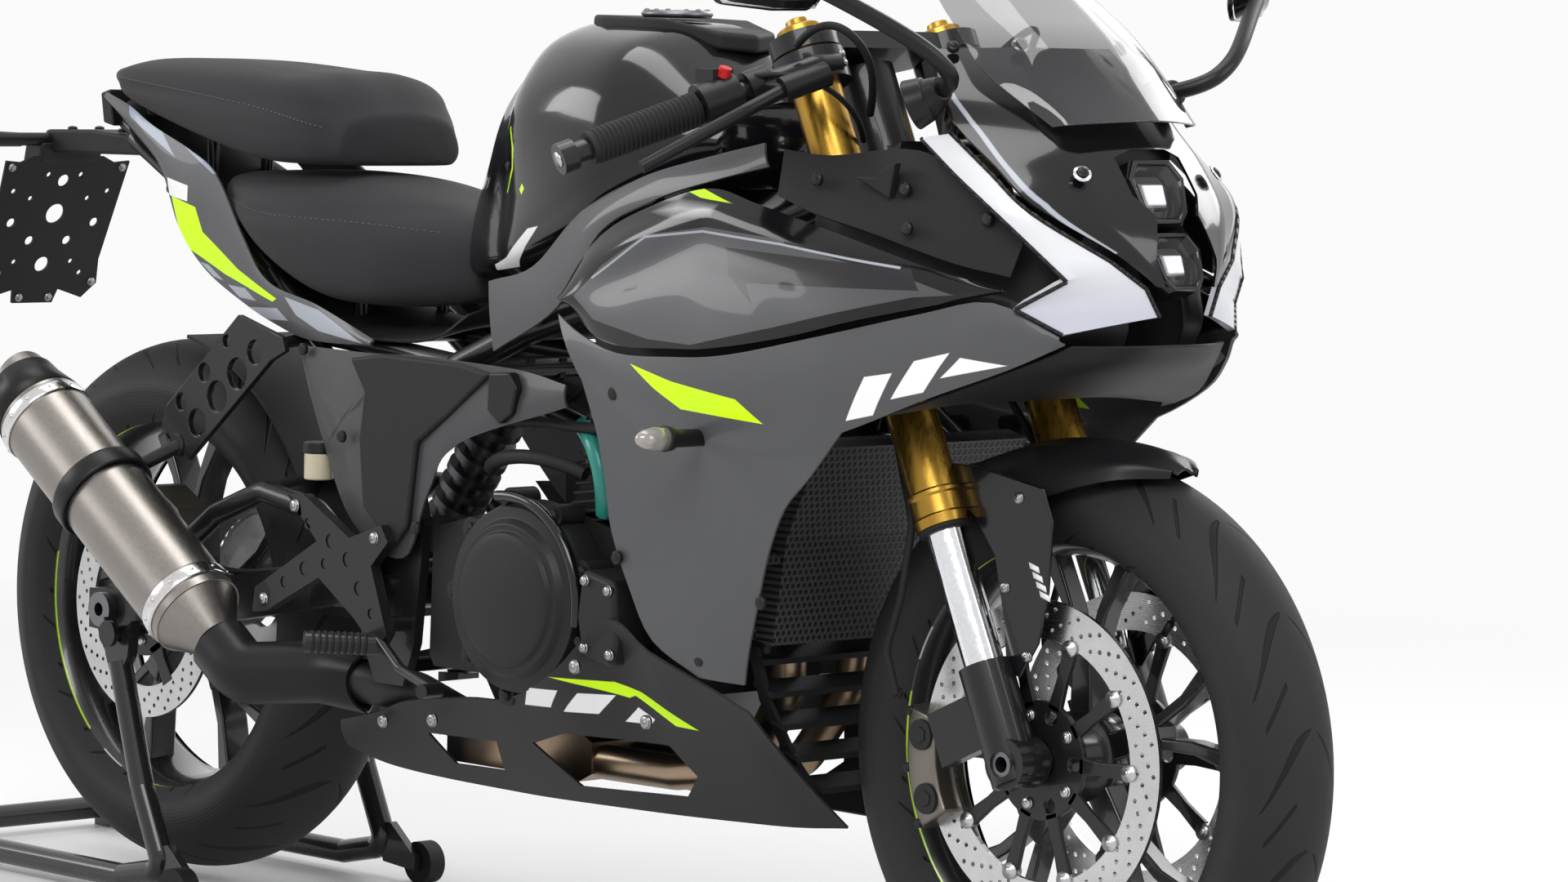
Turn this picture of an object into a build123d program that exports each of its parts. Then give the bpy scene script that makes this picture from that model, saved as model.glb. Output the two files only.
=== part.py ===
"""Sport motorcycle on its paddock stand: one solid or set of like solids per node.

Frame: +X forward, +Y left, +Z up, millimetres, origin on the floor under the middle
of the overall box. Steering points straight ahead. The rear tyre hangs clear of the
floor, because the paddock stand lifts the swingarm.
"""
from build123d import *
import math
import os

# ---------------------------------------------------------------- driving dimensions
WHEELBASE = 1436.0
FRONT_AXLE_X = 778.0
FRONT_TYRE_R = 300.0
FRONT_TYRE_W = 120.0
REAR_TYRE_R = 312.0
REAR_TYRE_W = 160.0
STAND_LIFT = 15.0
RAKE = 24.5
TRAIL = 98.0
WALL = 4.0
TYRE_WALL = 10.0
SEAT_FIT = 0.3
STUD_GAP = 0.6
RUNNING_FIT = 0.05
SKIN_GAP = 5.0

RIM_SEAT_R = 214.0
RIM_FLANGE_R = 226.0
RIM_INNER_R = 203.0
FRONT_RIM_HALF = 46.0
REAR_RIM_HALF = 62.0
RIM_FLANGE_T = 6.0
AXLE_R = 12.5
AXLE_BORE_R = 8.0

FRONT_DISC_R = 160.0
FRONT_DISC_INNER_R = 128.0
FRONT_DISC_Y = 68.0
DISC_T = 4.6
CARRIER_T = 5.0
REAR_DISC_R = 130.0
REAR_DISC_INNER_R = 92.0
REAR_DISC_Y = 87.0

FORK_HALF = 102.0
FORK_OFFSET = 29.3
FORK_UPPER_R = 26.0
STANCHION_R = 20.5
STANCHION_HIDDEN = 60.0
FORK_FOOT_R = 27.0
STEM_R = 15.0
HEAD_R = 34.0
FORK_UPPER_END = 233.0
FOOT_TOP = 88.0
FOOT_BOTTOM = -34.0
HEAD_SPAN = (500.0, 739.0)
BEARING_GAP = 6.0
LOWER_CLAMP = (HEAD_SPAN[0] - BEARING_GAP - 36.0, HEAD_SPAN[0] - BEARING_GAP)
UPPER_CLAMP = (HEAD_SPAN[1] + BEARING_GAP, HEAD_SPAN[1] + BEARING_GAP + 19.0)
FORK_TOP = UPPER_CLAMP[1] + 4.0
CLIP_GAP = 3.0
CLIP_SPAN = (UPPER_CLAMP[0] - CLIP_GAP - 33.0, UPPER_CLAMP[0] - CLIP_GAP)

BAR_R = 11.0
GRIP_R = 17.0
STEER_LOCK = 27.0

PIVOT = (-130.0, 0.0, 400.0)
PIVOT_R = 12.0
PIVOT_BARREL_R = 27.0
ARM_INNER_Y = 114.0
ARM_OUTER_Y = 142.0
PLATE_INNER_Y = 143.0
PLATE_T = 12.0

CHAIN_Y = 98.0
CHAIN_GAP = 5.0
CHAIN_PLATE_T = 2.5
CHAIN_PITCH = 15.875
SPROCKET_T = 6.0
REAR_TEETH = 43
FRONT_TEETH = 15
FRONT_SPROCKET = (-50.0, 398.0)

STAND_HALF = 165.0
STAND_TUBE_R = 14.0
STAND_REAR_X = -1064.0
STAND_FLOOR_Z = 24.0
ROLLER_R = 25.0
ROLLER_W = 22.0
ROLLER_X = -462.0

MUFFLER_R = 53.0
MUFFLER_FRONT = Vector(-395.0, -212.0, 347.0)
MUFFLER_REAR = Vector(-690.0, -216.0, 556.0)
HEADER_R = 19.0

REAR_AXLE_X = FRONT_AXLE_X - WHEELBASE
FRONT_AXLE = Vector(FRONT_AXLE_X, 0, FRONT_TYRE_R)
REAR_AXLE = Vector(REAR_AXLE_X, 0, REAR_TYRE_R + STAND_LIFT)
SIN_RAKE = math.sin(math.radians(RAKE))
COS_RAKE = math.cos(math.radians(RAKE))
TOTAL_OFFSET = FRONT_TYRE_R * SIN_RAKE - TRAIL * COS_RAKE
AXIS_DIR = Vector(-SIN_RAKE, 0, COS_RAKE)
AXIS_FOOT = FRONT_AXLE - Vector(TOTAL_OFFSET / COS_RAKE, 0, 0)
STEER = Plane(origin=AXIS_FOOT, x_dir=(COS_RAKE, 0, SIN_RAKE), z_dir=AXIS_DIR)
AXLE_LOCAL = Vector(TOTAL_OFFSET, 0, -TOTAL_OFFSET * SIN_RAKE / COS_RAKE)

NODES = {}


# ---------------------------------------------------------------- small helpers
def node(name, *solids):
    """Keep a node's solids for the export at the end."""
    NODES[name] = list(solids)
    return NODES[name]


def side_pair(*solids):
    """The solids and their mirror images across the bike's middle plane."""
    return list(solids) + [one.mirror(Plane.XZ) for one in solids]


def only(shape):
    """The one solid of a boolean's result."""
    return shape.solids()[0] if len(shape.solids()) == 1 else largest(shape)


def largest(shape):
    return max(shape.solids(), key=lambda one: one.volume)


def box(x, y, z):
    """A block from three (low, high) pairs."""
    low = Plane(origin=(x[0], y[0], z[0]))
    return Solid.make_box(x[1] - x[0], y[1] - y[0], z[1] - z[0], low)


def rod(radius, start, end):
    a = Vector(*start)
    b = Vector(*end)
    return Solid.make_cylinder(radius, (b - a).length, Plane(origin=a, z_dir=b - a))


def cone_rod(r_start, r_end, start, end):
    a = Vector(*start)
    b = Vector(*end)
    return Solid.make_cone(r_start, r_end, (b - a).length, Plane(origin=a, z_dir=b - a))


def ring(r_out, r_in, start, end):
    a = Vector(*start)
    b = Vector(*end)
    reach = (b - a).normalized()
    return only(rod(r_out, a, b) - rod(r_in, a - reach, b + reach))


def plate(points, low, high, across="y"):
    """A flat outline, extruded along one axis from low to high.

    The outline's points are (x, z) across y, (y, z) across x and (x, y) across z.
    """
    at = {"y": lambda p: (p[0], low, p[1]), "x": lambda p: (low, *p), "z": lambda p: (*p, low)}
    way = {"y": (0, 1, 0), "x": (1, 0, 0), "z": (0, 0, 1)}[across]
    face = Face(Wire.make_polygon([Vector(*at[across](p)) for p in points], close=True))
    return Solid.extrude(face, Vector(*way) * (high - low))


def tube(radius, route, bend):
    """A round bar along straight runs joined by tangent arcs."""
    points = [Vector(*p) for p in route]
    path = FilletPolyline(*points, radius=bend) if len(points) > 2 else Line(*points)
    start = Plane(origin=points[0], z_dir=points[1] - points[0])
    return only(sweep(start * Circle(radius), path=path))


def turned(solids, axle, count):
    """Copies of the solids, evenly spaced around an axle that runs across the bike."""
    around = Axis(axle, (0, 1, 0))
    return [one.rotate(around, 360.0 * k / count) for k in range(count) for one in solids]


def spun(points, axle):
    """A closed (across, radius) outline, turned once round an axle."""
    outline = [Vector(axle.X + radius, across, axle.Z) for across, radius in points]
    face = Face(Wire.make_polygon(outline, close=True))
    return Solid.revolve(face, 360, Axis(axle, (0, 1, 0)))


def steered(solid):
    """From the steering axis's own frame (forward, left, up the axis) to the bike's."""
    return solid.moved(STEER.location)


def on_fork(height):
    """A point on the right fork leg's centre line, at a height up the steering axis."""
    return STEER.from_local_coords(Vector(FORK_OFFSET, -FORK_HALF, height))


def sagged_rib(top, bottom, crown, steps):
    """Points from a rib's top to its bottom, bowed outwards by crown in the middle."""
    a = Vector(*top)
    b = Vector(*bottom)
    points = []
    for k in range(steps + 1):
        t = k / steps
        bow = Vector(0, -4 * crown * t * (1 - t), 0)
        points.append(a + (b - a) * t + bow)
    return points


def corner_key(point):
    return (round(point.X, 4), round(point.Y, 4), round(point.Z, 4))


def solid_of(triangles):
    """A closed solid from its triangles."""
    faces = [Face(Wire.make_polygon([Vector(*p) for p in t], close=True)) for t in triangles]
    return Solid(Shell(faces))


def grid_triangles(rows):
    triangles = []
    for above, below in zip(rows, rows[1:]):
        for k in range(len(above) - 1):
            a, b = corner_key(above[k]), corner_key(above[k + 1])
            c, d = corner_key(below[k]), corner_key(below[k + 1])
            triangles += [t for t in ((a, b, d), (a, d, c)) if len(set(t)) == 3]
    return triangles


def skin(rows, wall, inward, more=()):
    """A panel of even wall: rows of points give its outer face, inward its hollow side.

    More grids of rows may share an edge's points with the first one.
    """
    triangles = grid_triangles(rows)
    for grid in more:
        triangles += grid_triangles(grid)
    normals = {}
    for t in triangles:
        a, b, c = (Vector(*p) for p in t)
        for p in t:
            normals[p] = normals.get(p, Vector(0, 0, 0)) + (b - a).cross(c - a)
    total = Vector(0, 0, 0)
    for one in normals.values():
        total = total + one
    sign = -1.0 if total.dot(Vector(*inward)) > 0 else 1.0
    if sign < 0:
        triangles = [(a, c, b) for a, b, c in triangles]
    inner = {p: corner_key(Vector(*p) - m.normalized() * (sign * wall)) for p, m in normals.items()}
    edges = {(t[k], t[(k + 1) % 3]) for t in triangles for k in range(3)}
    closed = triangles + [tuple(inner[p] for p in reversed(t)) for t in triangles]
    for a, b in edges:
        if (b, a) not in edges:
            closed += [(a, inner[a], inner[b]), (a, inner[b], b)]
    return solid_of(closed)


def ribbed(ribs, crown, wall=WALL, steps=3, inward=(0, 1, 0)):
    """A side panel from (top x y z, bottom x y z) ribs, right side of the bike."""
    return skin([sagged_rib(r[:3], r[3:], crown, steps) for r in ribs], wall, inward)


def lofted(sections):
    """A closed body from cross sections: (x, ((y, z) from the bottom edge to the top middle))."""
    rings = []
    for x, half in sections:
        left = [Vector(x, y, z) for y, z in half]
        right = [Vector(x, -y, z) for y, z in reversed(half) if y > 0]
        rings.append(left + right)
    count = len(rings[0])
    triangles = []
    for one, two in zip(rings, rings[1:]):
        for k in range(count):
            a, b = corner_key(one[k]), corner_key(one[(k + 1) % count])
            c, d = corner_key(two[k]), corner_key(two[(k + 1) % count])
            triangles += [(a, c, d), (a, d, b)]
    for end, flip in ((rings[0], False), (rings[-1], True)):
        keys = [corner_key(p) for p in end]
        fan = [(keys[0], keys[k], keys[k + 1]) for k in range(1, count - 1)]
        triangles += [(a, c, b) for a, b, c in fan] if flip else fan
    body = solid_of(triangles)
    return body if body.volume > 0 else solid_of([(a, c, b) for a, b, c in triangles])


# ---------------------------------------------------------------- wheels
def tyre(axle, radius, width, bead_half):
    """A hollow tyre: round crown, bulged walls, and beads that sit on the rim."""
    half = width / 2
    shoulder = radius - half * 0.79
    bead_r = RIM_SEAT_R + SEAT_FIT
    bead_top = RIM_FLANGE_R + 1.0
    centre = Vector(axle.X, 0, axle.Z)

    def at(across, r):
        return centre + Vector(r, across, 0)

    inner_half = half - TYRE_WALL
    wall_mid = (shoulder + RIM_FLANGE_R) / 2
    outline = [
        ThreePointArc(at(-half, shoulder), at(0, radius), at(half, shoulder)),
        ThreePointArc(at(half, shoulder), at(half - 3, wall_mid), at(bead_half, bead_top)),
        Line(at(bead_half, bead_top), at(bead_half, bead_r)),
        Line(at(bead_half, bead_r), at(bead_half - TYRE_WALL, bead_r)),
        Line(at(bead_half - TYRE_WALL, bead_r), at(inner_half, shoulder)),
        ThreePointArc(at(inner_half, shoulder), at(0, radius - TYRE_WALL), at(-inner_half, shoulder)),
        Line(at(-inner_half, shoulder), at(TYRE_WALL - bead_half, bead_r)),
        Line(at(TYRE_WALL - bead_half, bead_r), at(-bead_half, bead_r)),
        Line(at(-bead_half, bead_r), at(-bead_half, bead_top)),
        ThreePointArc(at(-bead_half, bead_top), at(3 - half, wall_mid), at(-half, shoulder)),
    ]
    face = make_face(outline)
    return only(revolve(face, Axis(centre, (0, 1, 0)), 360))


def wheel(axle, bead_half, hub_r, hub_half, spoke_half, spread, spoke_pairs):
    """A cast wheel: barrel with two flanges, hub with its bore, and forked spokes."""
    seat = bead_half + SEAT_FIT
    edge = seat + RIM_FLANGE_T
    well = RIM_INNER_R + 3.0
    barrel = spun([(-edge, RIM_FLANGE_R), (-seat, RIM_FLANGE_R), (-seat, RIM_SEAT_R),
                   (seat, RIM_SEAT_R), (seat, RIM_FLANGE_R), (edge, RIM_FLANGE_R),
                   (edge, well), (edge * 0.4, RIM_INNER_R), (-edge * 0.4, RIM_INNER_R),
                   (-edge, well)], axle)
    hub = rod(hub_r, axle - Vector(0, hub_half, 0), axle + Vector(0, hub_half, 0))
    spoke_root = hub_r - 6.0
    spoke_end = RIM_INNER_R + 4.0
    spokes = []
    for lean in (-1, 1):
        inner = math.radians(lean * 4.0)
        outer = math.radians(lean * spread)
        corners = []
        for r, a, w in ((spoke_root, inner, -9), (spoke_end, outer, -7),
                        (spoke_end, outer, 7), (spoke_root, inner, 9)):
            x = r * math.cos(a) - w * math.sin(a)
            z = r * math.sin(a) + w * math.cos(a)
            corners.append((axle.X + x, axle.Z + z))
        spokes.append(plate(corners, -spoke_half, spoke_half))
    body = barrel.fuse(hub, *turned(spokes, axle, spoke_pairs))
    reach = Vector(0, hub_half + 1, 0)
    return only(body - rod(AXLE_R + RUNNING_FIT, axle - reach, axle + reach))


def flat_ring(axle, y, thickness, r_out, r_in):
    return ring(r_out, r_in, (axle.X, y - thickness / 2, axle.Z), (axle.X, y + thickness / 2, axle.Z))


def disc_carrier(axle, y, r_in, r_out, arms):
    """A star that holds a brake ring by its arms' ends."""
    hub_ring = flat_ring(axle, y, CARRIER_T, r_in + 22, r_in)
    arm = box((axle.X + r_in + 10, axle.X + r_out), (y - CARRIER_T / 2, y + CARRIER_T / 2),
              (axle.Z - 7, axle.Z + 7))
    star = hub_ring.fuse(*turned([arm], axle, arms))
    reach = rod(r_out, (axle.X, y - CARRIER_T, axle.Z), (axle.X, y + CARRIER_T, axle.Z))
    return only(star & reach)


def build_front_wheel():
    hub_half = FRONT_DISC_Y - CARRIER_T / 2 - SEAT_FIT
    node("front_tyre", tyre(FRONT_AXLE, FRONT_TYRE_R, FRONT_TYRE_W, FRONT_RIM_HALF))
    node("front_wheel_rim", wheel(FRONT_AXLE, FRONT_RIM_HALF, 48.0, hub_half, 12.0, 17.0, 5))
    disc = flat_ring(FRONT_AXLE, -FRONT_DISC_Y, DISC_T, FRONT_DISC_R, FRONT_DISC_INNER_R)
    carrier = disc_carrier(FRONT_AXLE, -FRONT_DISC_Y, 36.0, FRONT_DISC_INNER_R - SEAT_FIT, 10)
    bobbin = rod(6.0, (FRONT_AXLE.X + FRONT_DISC_INNER_R, -FRONT_DISC_Y - 4, FRONT_AXLE.Z),
                 (FRONT_AXLE.X + FRONT_DISC_INNER_R, -FRONT_DISC_Y + 4, FRONT_AXLE.Z))
    whole = disc.fuse(carrier, *turned([bobbin], FRONT_AXLE, 10))
    node("front_brake_discs", *side_pair(only(whole)))


def sprocket(centre, teeth, y, bore_r):
    """A toothed wheel: a disc to the root circle and one blunt tooth per pitch."""
    pitch_r = teeth * CHAIN_PITCH / (2 * math.pi)
    root_r = pitch_r - 5.0
    side = (y - SPROCKET_T / 2, y + SPROCKET_T / 2)
    disc = ring(root_r, bore_r, (centre.X, side[0], centre.Z), (centre.X, side[1], centre.Z))
    tooth = plate([(centre.X + root_r - 2, centre.Z - 4.5), (centre.X + pitch_r + 3, centre.Z - 2),
                   (centre.X + pitch_r + 3, centre.Z + 2), (centre.X + root_r - 2, centre.Z + 4.5)],
                  *side)
    return only(disc.fuse(*turned([tooth], centre, teeth)))


def build_rear_wheel():
    hub_half = REAR_DISC_Y - CARRIER_T / 2 - SEAT_FIT
    node("rear_tyre", tyre(REAR_AXLE, REAR_TYRE_R, REAR_TYRE_W, REAR_RIM_HALF))
    node("rear_wheel_rim", wheel(REAR_AXLE, REAR_RIM_HALF, 55.0, hub_half, 14.0, 17.0, 5))
    ring_part = flat_ring(REAR_AXLE, -REAR_DISC_Y, DISC_T, REAR_DISC_R, REAR_DISC_INNER_R)
    star = disc_carrier(REAR_AXLE, -REAR_DISC_Y, 36.0, REAR_DISC_INNER_R + 4, 6)
    node("rear_brake_disc", only(ring_part.fuse(star)))
    cush_end = CHAIN_Y - SPROCKET_T / 2
    gear = sprocket(REAR_AXLE, REAR_TEETH, CHAIN_Y, 36.0)
    cush = ring(70.0, 36.0, (REAR_AXLE.X, hub_half + SEAT_FIT, REAR_AXLE.Z),
                (REAR_AXLE.X, cush_end, REAR_AXLE.Z))
    node("rear_sprocket", only(gear.fuse(cush)))


# ---------------------------------------------------------------- fork and steering
def build_fork():
    top = Vector(FORK_OFFSET, -FORK_HALF, FORK_TOP)
    end = Vector(FORK_OFFSET, -FORK_HALF, FORK_UPPER_END)
    hidden = end + Vector(0, 0, STANCHION_HIDDEN)
    foot_top = Vector(FORK_OFFSET, -FORK_HALF, FOOT_TOP)
    foot_low = Vector(FORK_OFFSET, -FORK_HALF, FOOT_BOTTOM)
    bore_r = STANCHION_R + SEAT_FIT
    outer = only(rod(FORK_UPPER_R, end, top) - rod(bore_r, end - Vector(0, 0, 1), hidden))
    node("fork_tubes_upper", *side_pair(steered(outer)))
    socket = foot_top - Vector(0, 0, 40)
    stanchion = rod(STANCHION_R, socket + Vector(0, 0, SEAT_FIT), hidden - Vector(0, 0, SEAT_FIT))
    node("fork_tubes_lower", *side_pair(steered(stanchion)))
    casting = rod(FORK_FOOT_R, foot_low, foot_top)
    boss_mid = Vector(AXLE_LOCAL.X, -FORK_HALF, AXLE_LOCAL.Z)
    boss = rod(26.0, boss_mid + Vector(0, 20, 0), boss_mid - Vector(0, 20, 0))
    lug = box((-58, FORK_OFFSET), (-FORK_HALF - 9, -FORK_HALF + 9), (10, 66))
    foot = casting.fuse(boss, lug) - rod(bore_r, socket, foot_top + Vector(0, 0, 1))
    foot = foot - rod(AXLE_R + RUNNING_FIT, boss_mid - Vector(0, 40, 0), boss_mid + Vector(0, 40, 0))
    node("fork_feet", *side_pair(steered(only(foot))))
    reach = Vector(0, FORK_HALF + 24, 0)
    sleeve_in = FRONT_DISC_Y - CARRIER_T / 2
    sleeve_out = FORK_HALF - FORK_FOOT_R - SEAT_FIT
    axle = rod(AXLE_R, FRONT_AXLE - reach, FRONT_AXLE + reach)
    for side in (-1, 1):
        axle = axle.fuse(rod(18.0, FRONT_AXLE + Vector(0, side * sleeve_in, 0),
                             FRONT_AXLE + Vector(0, side * sleeve_out, 0)))
    node("front_axle", only(axle - rod(AXLE_BORE_R, FRONT_AXLE - reach * 1.1, FRONT_AXLE + reach * 1.1)))


def clamp_plate(span, ear_r, waist):
    """A bridge that grips both fork legs and carries the stem."""
    low, high = span
    parts = [rod(ear_r, (FORK_OFFSET, s * FORK_HALF, low), (FORK_OFFSET, s * FORK_HALF, high))
             for s in (-1, 1)]
    web = [(-waist, -34), (-waist, 34), (FORK_OFFSET - 14, FORK_HALF), (FORK_OFFSET + 22, FORK_HALF),
           (FORK_OFFSET + 22, -FORK_HALF), (FORK_OFFSET - 14, -FORK_HALF)]
    bridge = plate(web, low, high, "z").fuse(*parts)
    for s in (-1, 1):
        bridge = bridge - rod(FORK_UPPER_R + SEAT_FIT, (FORK_OFFSET, s * FORK_HALF, low - 1),
                              (FORK_OFFSET, s * FORK_HALF, high + 1))
    return only(bridge)


def build_clamps():
    stem = rod(STEM_R, (0, 0, LOWER_CLAMP[0] + 1), (0, 0, UPPER_CLAMP[1] + 8))
    lower = clamp_plate(LOWER_CLAMP, 38.0, 32.0)
    upper = clamp_plate(UPPER_CLAMP, 36.0, 30.0)
    cap = rod(20.0, (0, 0, UPPER_CLAMP[1] - 1), (0, 0, UPPER_CLAMP[1] + 8))
    joined = only(lower.fuse(stem, upper, cap))
    node("triple_clamps", steered(only(joined - rod(7.0, (0, 0, LOWER_CLAMP[0] - 1),
                                                    (0, 0, LOWER_CLAMP[0] + 60)))))


BAR_START = Vector(498.0, -120.0, 983.0)
BAR_END = Vector(408.0, -374.0, 888.0)
BAR_DIR = (BAR_END - BAR_START).normalized()


def on_bar(distance):
    """A point on the right bar, measured from the clamp's end."""
    return BAR_START + BAR_DIR * distance


def build_bars():
    collar_mid = STEER.from_local_coords(Vector(FORK_OFFSET, -FORK_HALF, sum(CLIP_SPAN) / 2))
    collar = ring(38.0, FORK_UPPER_R + SEAT_FIT, (FORK_OFFSET, -FORK_HALF, CLIP_SPAN[0]),
                  (FORK_OFFSET, -FORK_HALF, CLIP_SPAN[1]))
    bar = tube(BAR_R, [collar_mid + Vector(30, 6, 10), on_bar(6), BAR_END], 14.0)
    hole = steered(rod(FORK_UPPER_R + SEAT_FIT, (FORK_OFFSET, -FORK_HALF, CLIP_SPAN[0] - 60),
                       (FORK_OFFSET, -FORK_HALF, CLIP_SPAN[1] + 60)))
    clip = only(steered(collar).fuse(bar) - hole)
    weight = rod(GRIP_R - 1, BAR_END - BAR_DIR, BAR_END + BAR_DIR * 16)
    node("clip_on_bars", *side_pair(only(clip.fuse(weight))))
    grip = ring(GRIP_R, BAR_R + SEAT_FIT, on_bar(145), on_bar(268))
    node("grips", *side_pair(grip))


def build_controls():
    """Switch pod, lever with its perch, and master cylinder on each bar."""
    hole = rod(BAR_R + SEAT_FIT, on_bar(20), on_bar(260))
    pod = rod(24.0, on_bar(100), on_bar(142))
    perch = rod(19.0, on_bar(62), on_bar(88))
    pod_mid = on_bar(120)
    tip = on_bar(240) + Vector(42, 0, -26)
    root = on_bar(75) + Vector(46, 0, 0)
    arm = tube(7.0, [root, root + BAR_DIR * 55 + Vector(10, 0, -4), tip], 40.0)
    link = rod(9.0, on_bar(75), root + Vector(4, 0, 0))
    cylinder = rod(13.0, root - BAR_DIR * 44, root + BAR_DIR * 8)
    right = perch.fuse(link, cylinder, arm) - hole
    switch = pod.fuse(box((pod_mid.X - 20, pod_mid.X + 6), (pod_mid.Y - 14, pod_mid.Y + 14),
                          (pod_mid.Z + 8, pod_mid.Z + 32))) - hole
    node("hand_controls", *side_pair(only(right), only(switch)))


FENDER_R = FRONT_TYRE_R + 16.0
FENDER_T = 4.0
FENDER_SIDE_Y = 67.0


def build_front_fender():
    outer_y = FENDER_SIDE_Y + FENDER_T
    arch = spun([(-outer_y, FENDER_R), (outer_y, FENDER_R), (outer_y, FENDER_R + FENDER_T),
                 (-outer_y, FENDER_R + FENDER_T)], FRONT_AXLE)
    plan = [(640, -outer_y), (786, -outer_y), (850, -58), (888, -34), (897, -12),
            (897, 12), (888, 34), (850, 58), (786, outer_y), (640, outer_y)]
    arch = arch & plate(plan, 560, 640, "z")
    guard = [(648, 640), (794, 640), (808, 520), (806, 468), (744, 468), (640, 456), (598, 474)]
    wing = plate(guard, -outer_y, -FENDER_SIDE_Y)
    circle = rod(FENDER_R + FENDER_T, FRONT_AXLE - Vector(0, 90, 0), FRONT_AXLE + Vector(0, 90, 0))
    wing = wing & circle
    flare_rows = [
        [Vector(806, -outer_y, 504), Vector(744, -outer_y, 504)],
        [Vector(806, -82, 468), Vector(744, -82, 468)],
        [Vector(800, -87, 408), Vector(750, -86, 408)],
        [Vector(768, -89, 382), Vector(764, -89, 382)],
    ]
    flare = skin(flare_rows, FENDER_T, (0, 1, 0))
    height = 262.0
    mount = on_fork(height)
    boss = rod(10.0, (mount.X, -FORK_HALF + 6, mount.Z), (mount.X, -outer_y + 1, mount.Z))
    boss = only(boss - steered(rod(FORK_UPPER_R + SEAT_FIT, (FORK_OFFSET, -FORK_HALF, 0),
                                   (FORK_OFFSET, -FORK_HALF, 700))))
    side = only(wing.fuse(flare))
    halves = side_pair(side, boss)
    node("front_fender", only(arch.fuse(*halves)))


def caliper(axle, disc_y, disc_r, angle, reach, half_height, span_y):
    """A block over a disc's rim, slotted for the disc, turned round its axle."""
    outer, inner = span_y
    body = plate([(axle.X + disc_r - 60, axle.Z - half_height * 0.7),
                  (axle.X + disc_r + reach - 8, axle.Z - half_height),
                  (axle.X + disc_r + reach, axle.Z - half_height * 0.6),
                  (axle.X + disc_r + reach, axle.Z + half_height * 0.6),
                  (axle.X + disc_r + reach - 8, axle.Z + half_height),
                  (axle.X + disc_r - 60, axle.Z + half_height * 0.7)], outer, inner)
    half_slot = DISC_T / 2 + 5.0
    slot = rod(disc_r + 5, (axle.X, disc_y - half_slot, axle.Z), (axle.X, disc_y + half_slot, axle.Z))
    return only(body - slot).rotate(Axis(axle, (0, 1, 0)), -angle)


CALIPER_ANGLE = 173.0


def build_front_brakes():
    block = caliper(FRONT_AXLE, -FRONT_DISC_Y, FRONT_DISC_R, CALIPER_ANGLE, 26.0, 58.0,
                    (-106.0, -52.0))
    feet = NODES["fork_feet"]
    grown = [steered(box((-60, 8), (-FORK_HALF - 9.3, -FORK_HALF + 9.3), (8, 68)))]
    node("front_calipers", *side_pair(only(block - grown[0] - feet[0])))
    hose_r = 4.0
    start = Vector(616, -107.0 - hose_r, 352)
    route = [start, start + Vector(-12, -4, 44), (622, -114, 450), (634, -112, 526),
             (592, -96, 610), (556, -66, 684), (544, -40, 708)]
    node("front_brake_hoses", *side_pair(tube(hose_r, route, 24.0)))


# ---------------------------------------------------------------- frame and swingarm
FRAME_TUBE_R = 16.0
BEAM = [(492, -30, 862), (405, -88, 812), (250, -124, 745), (60, -124, 690), (-60, -128, 640),
        (-108, -134, 545), (-122, -140, 470)]
DOWN_TUBE = [(520, -34, 800), (420, -92, 690), (372, -104, 600)]
SUBFRAME_R = 12.0
UPPER_RAIL = [(-50, -128, 646), (-310, -98, 664), (-480, -84, 764), (-738, -46, 872)]
LOWER_RAIL = [(-110, -134, 560), (-260, -112, 606), (-420, -92, 728)]


CROSS_BARS = (
    # x, half width, z, radius
    (60, 124, 690, 12),
    (-60, 128, 640, 12),
    (-300, 99, 663, 9),
    (-476, 84, 762, 9),
    (-600, 66, 814, 9),
    (-730, 47, 869, 9),
    (-122, 146, 312, 8),
)
SHOCK_EYE_HALF = 19.0


STAND_TILT = 14.0
STAND_BOSS_END = 5.0
STAND_PIN_FOOT = Vector(-128.0, PLATE_INNER_Y + PLATE_T, 314.0)


def on_stand_pin(distance):
    """A point on the left side stand's pin, measured outwards from the frame plate's face."""
    tilt = math.radians(STAND_TILT)
    return STAND_PIN_FOOT + Vector(0, math.cos(tilt), math.sin(tilt)) * distance


def pivot_plate():
    y = (-PLATE_INNER_Y - PLATE_T, -PLATE_INNER_Y)
    outline = [(-178, 520), (-90, 535), (-72, 470), (-86, 340), (-104, 292), (-152, 292),
               (-176, 340), (-176, 440)]
    return plate(outline, *y)


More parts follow.
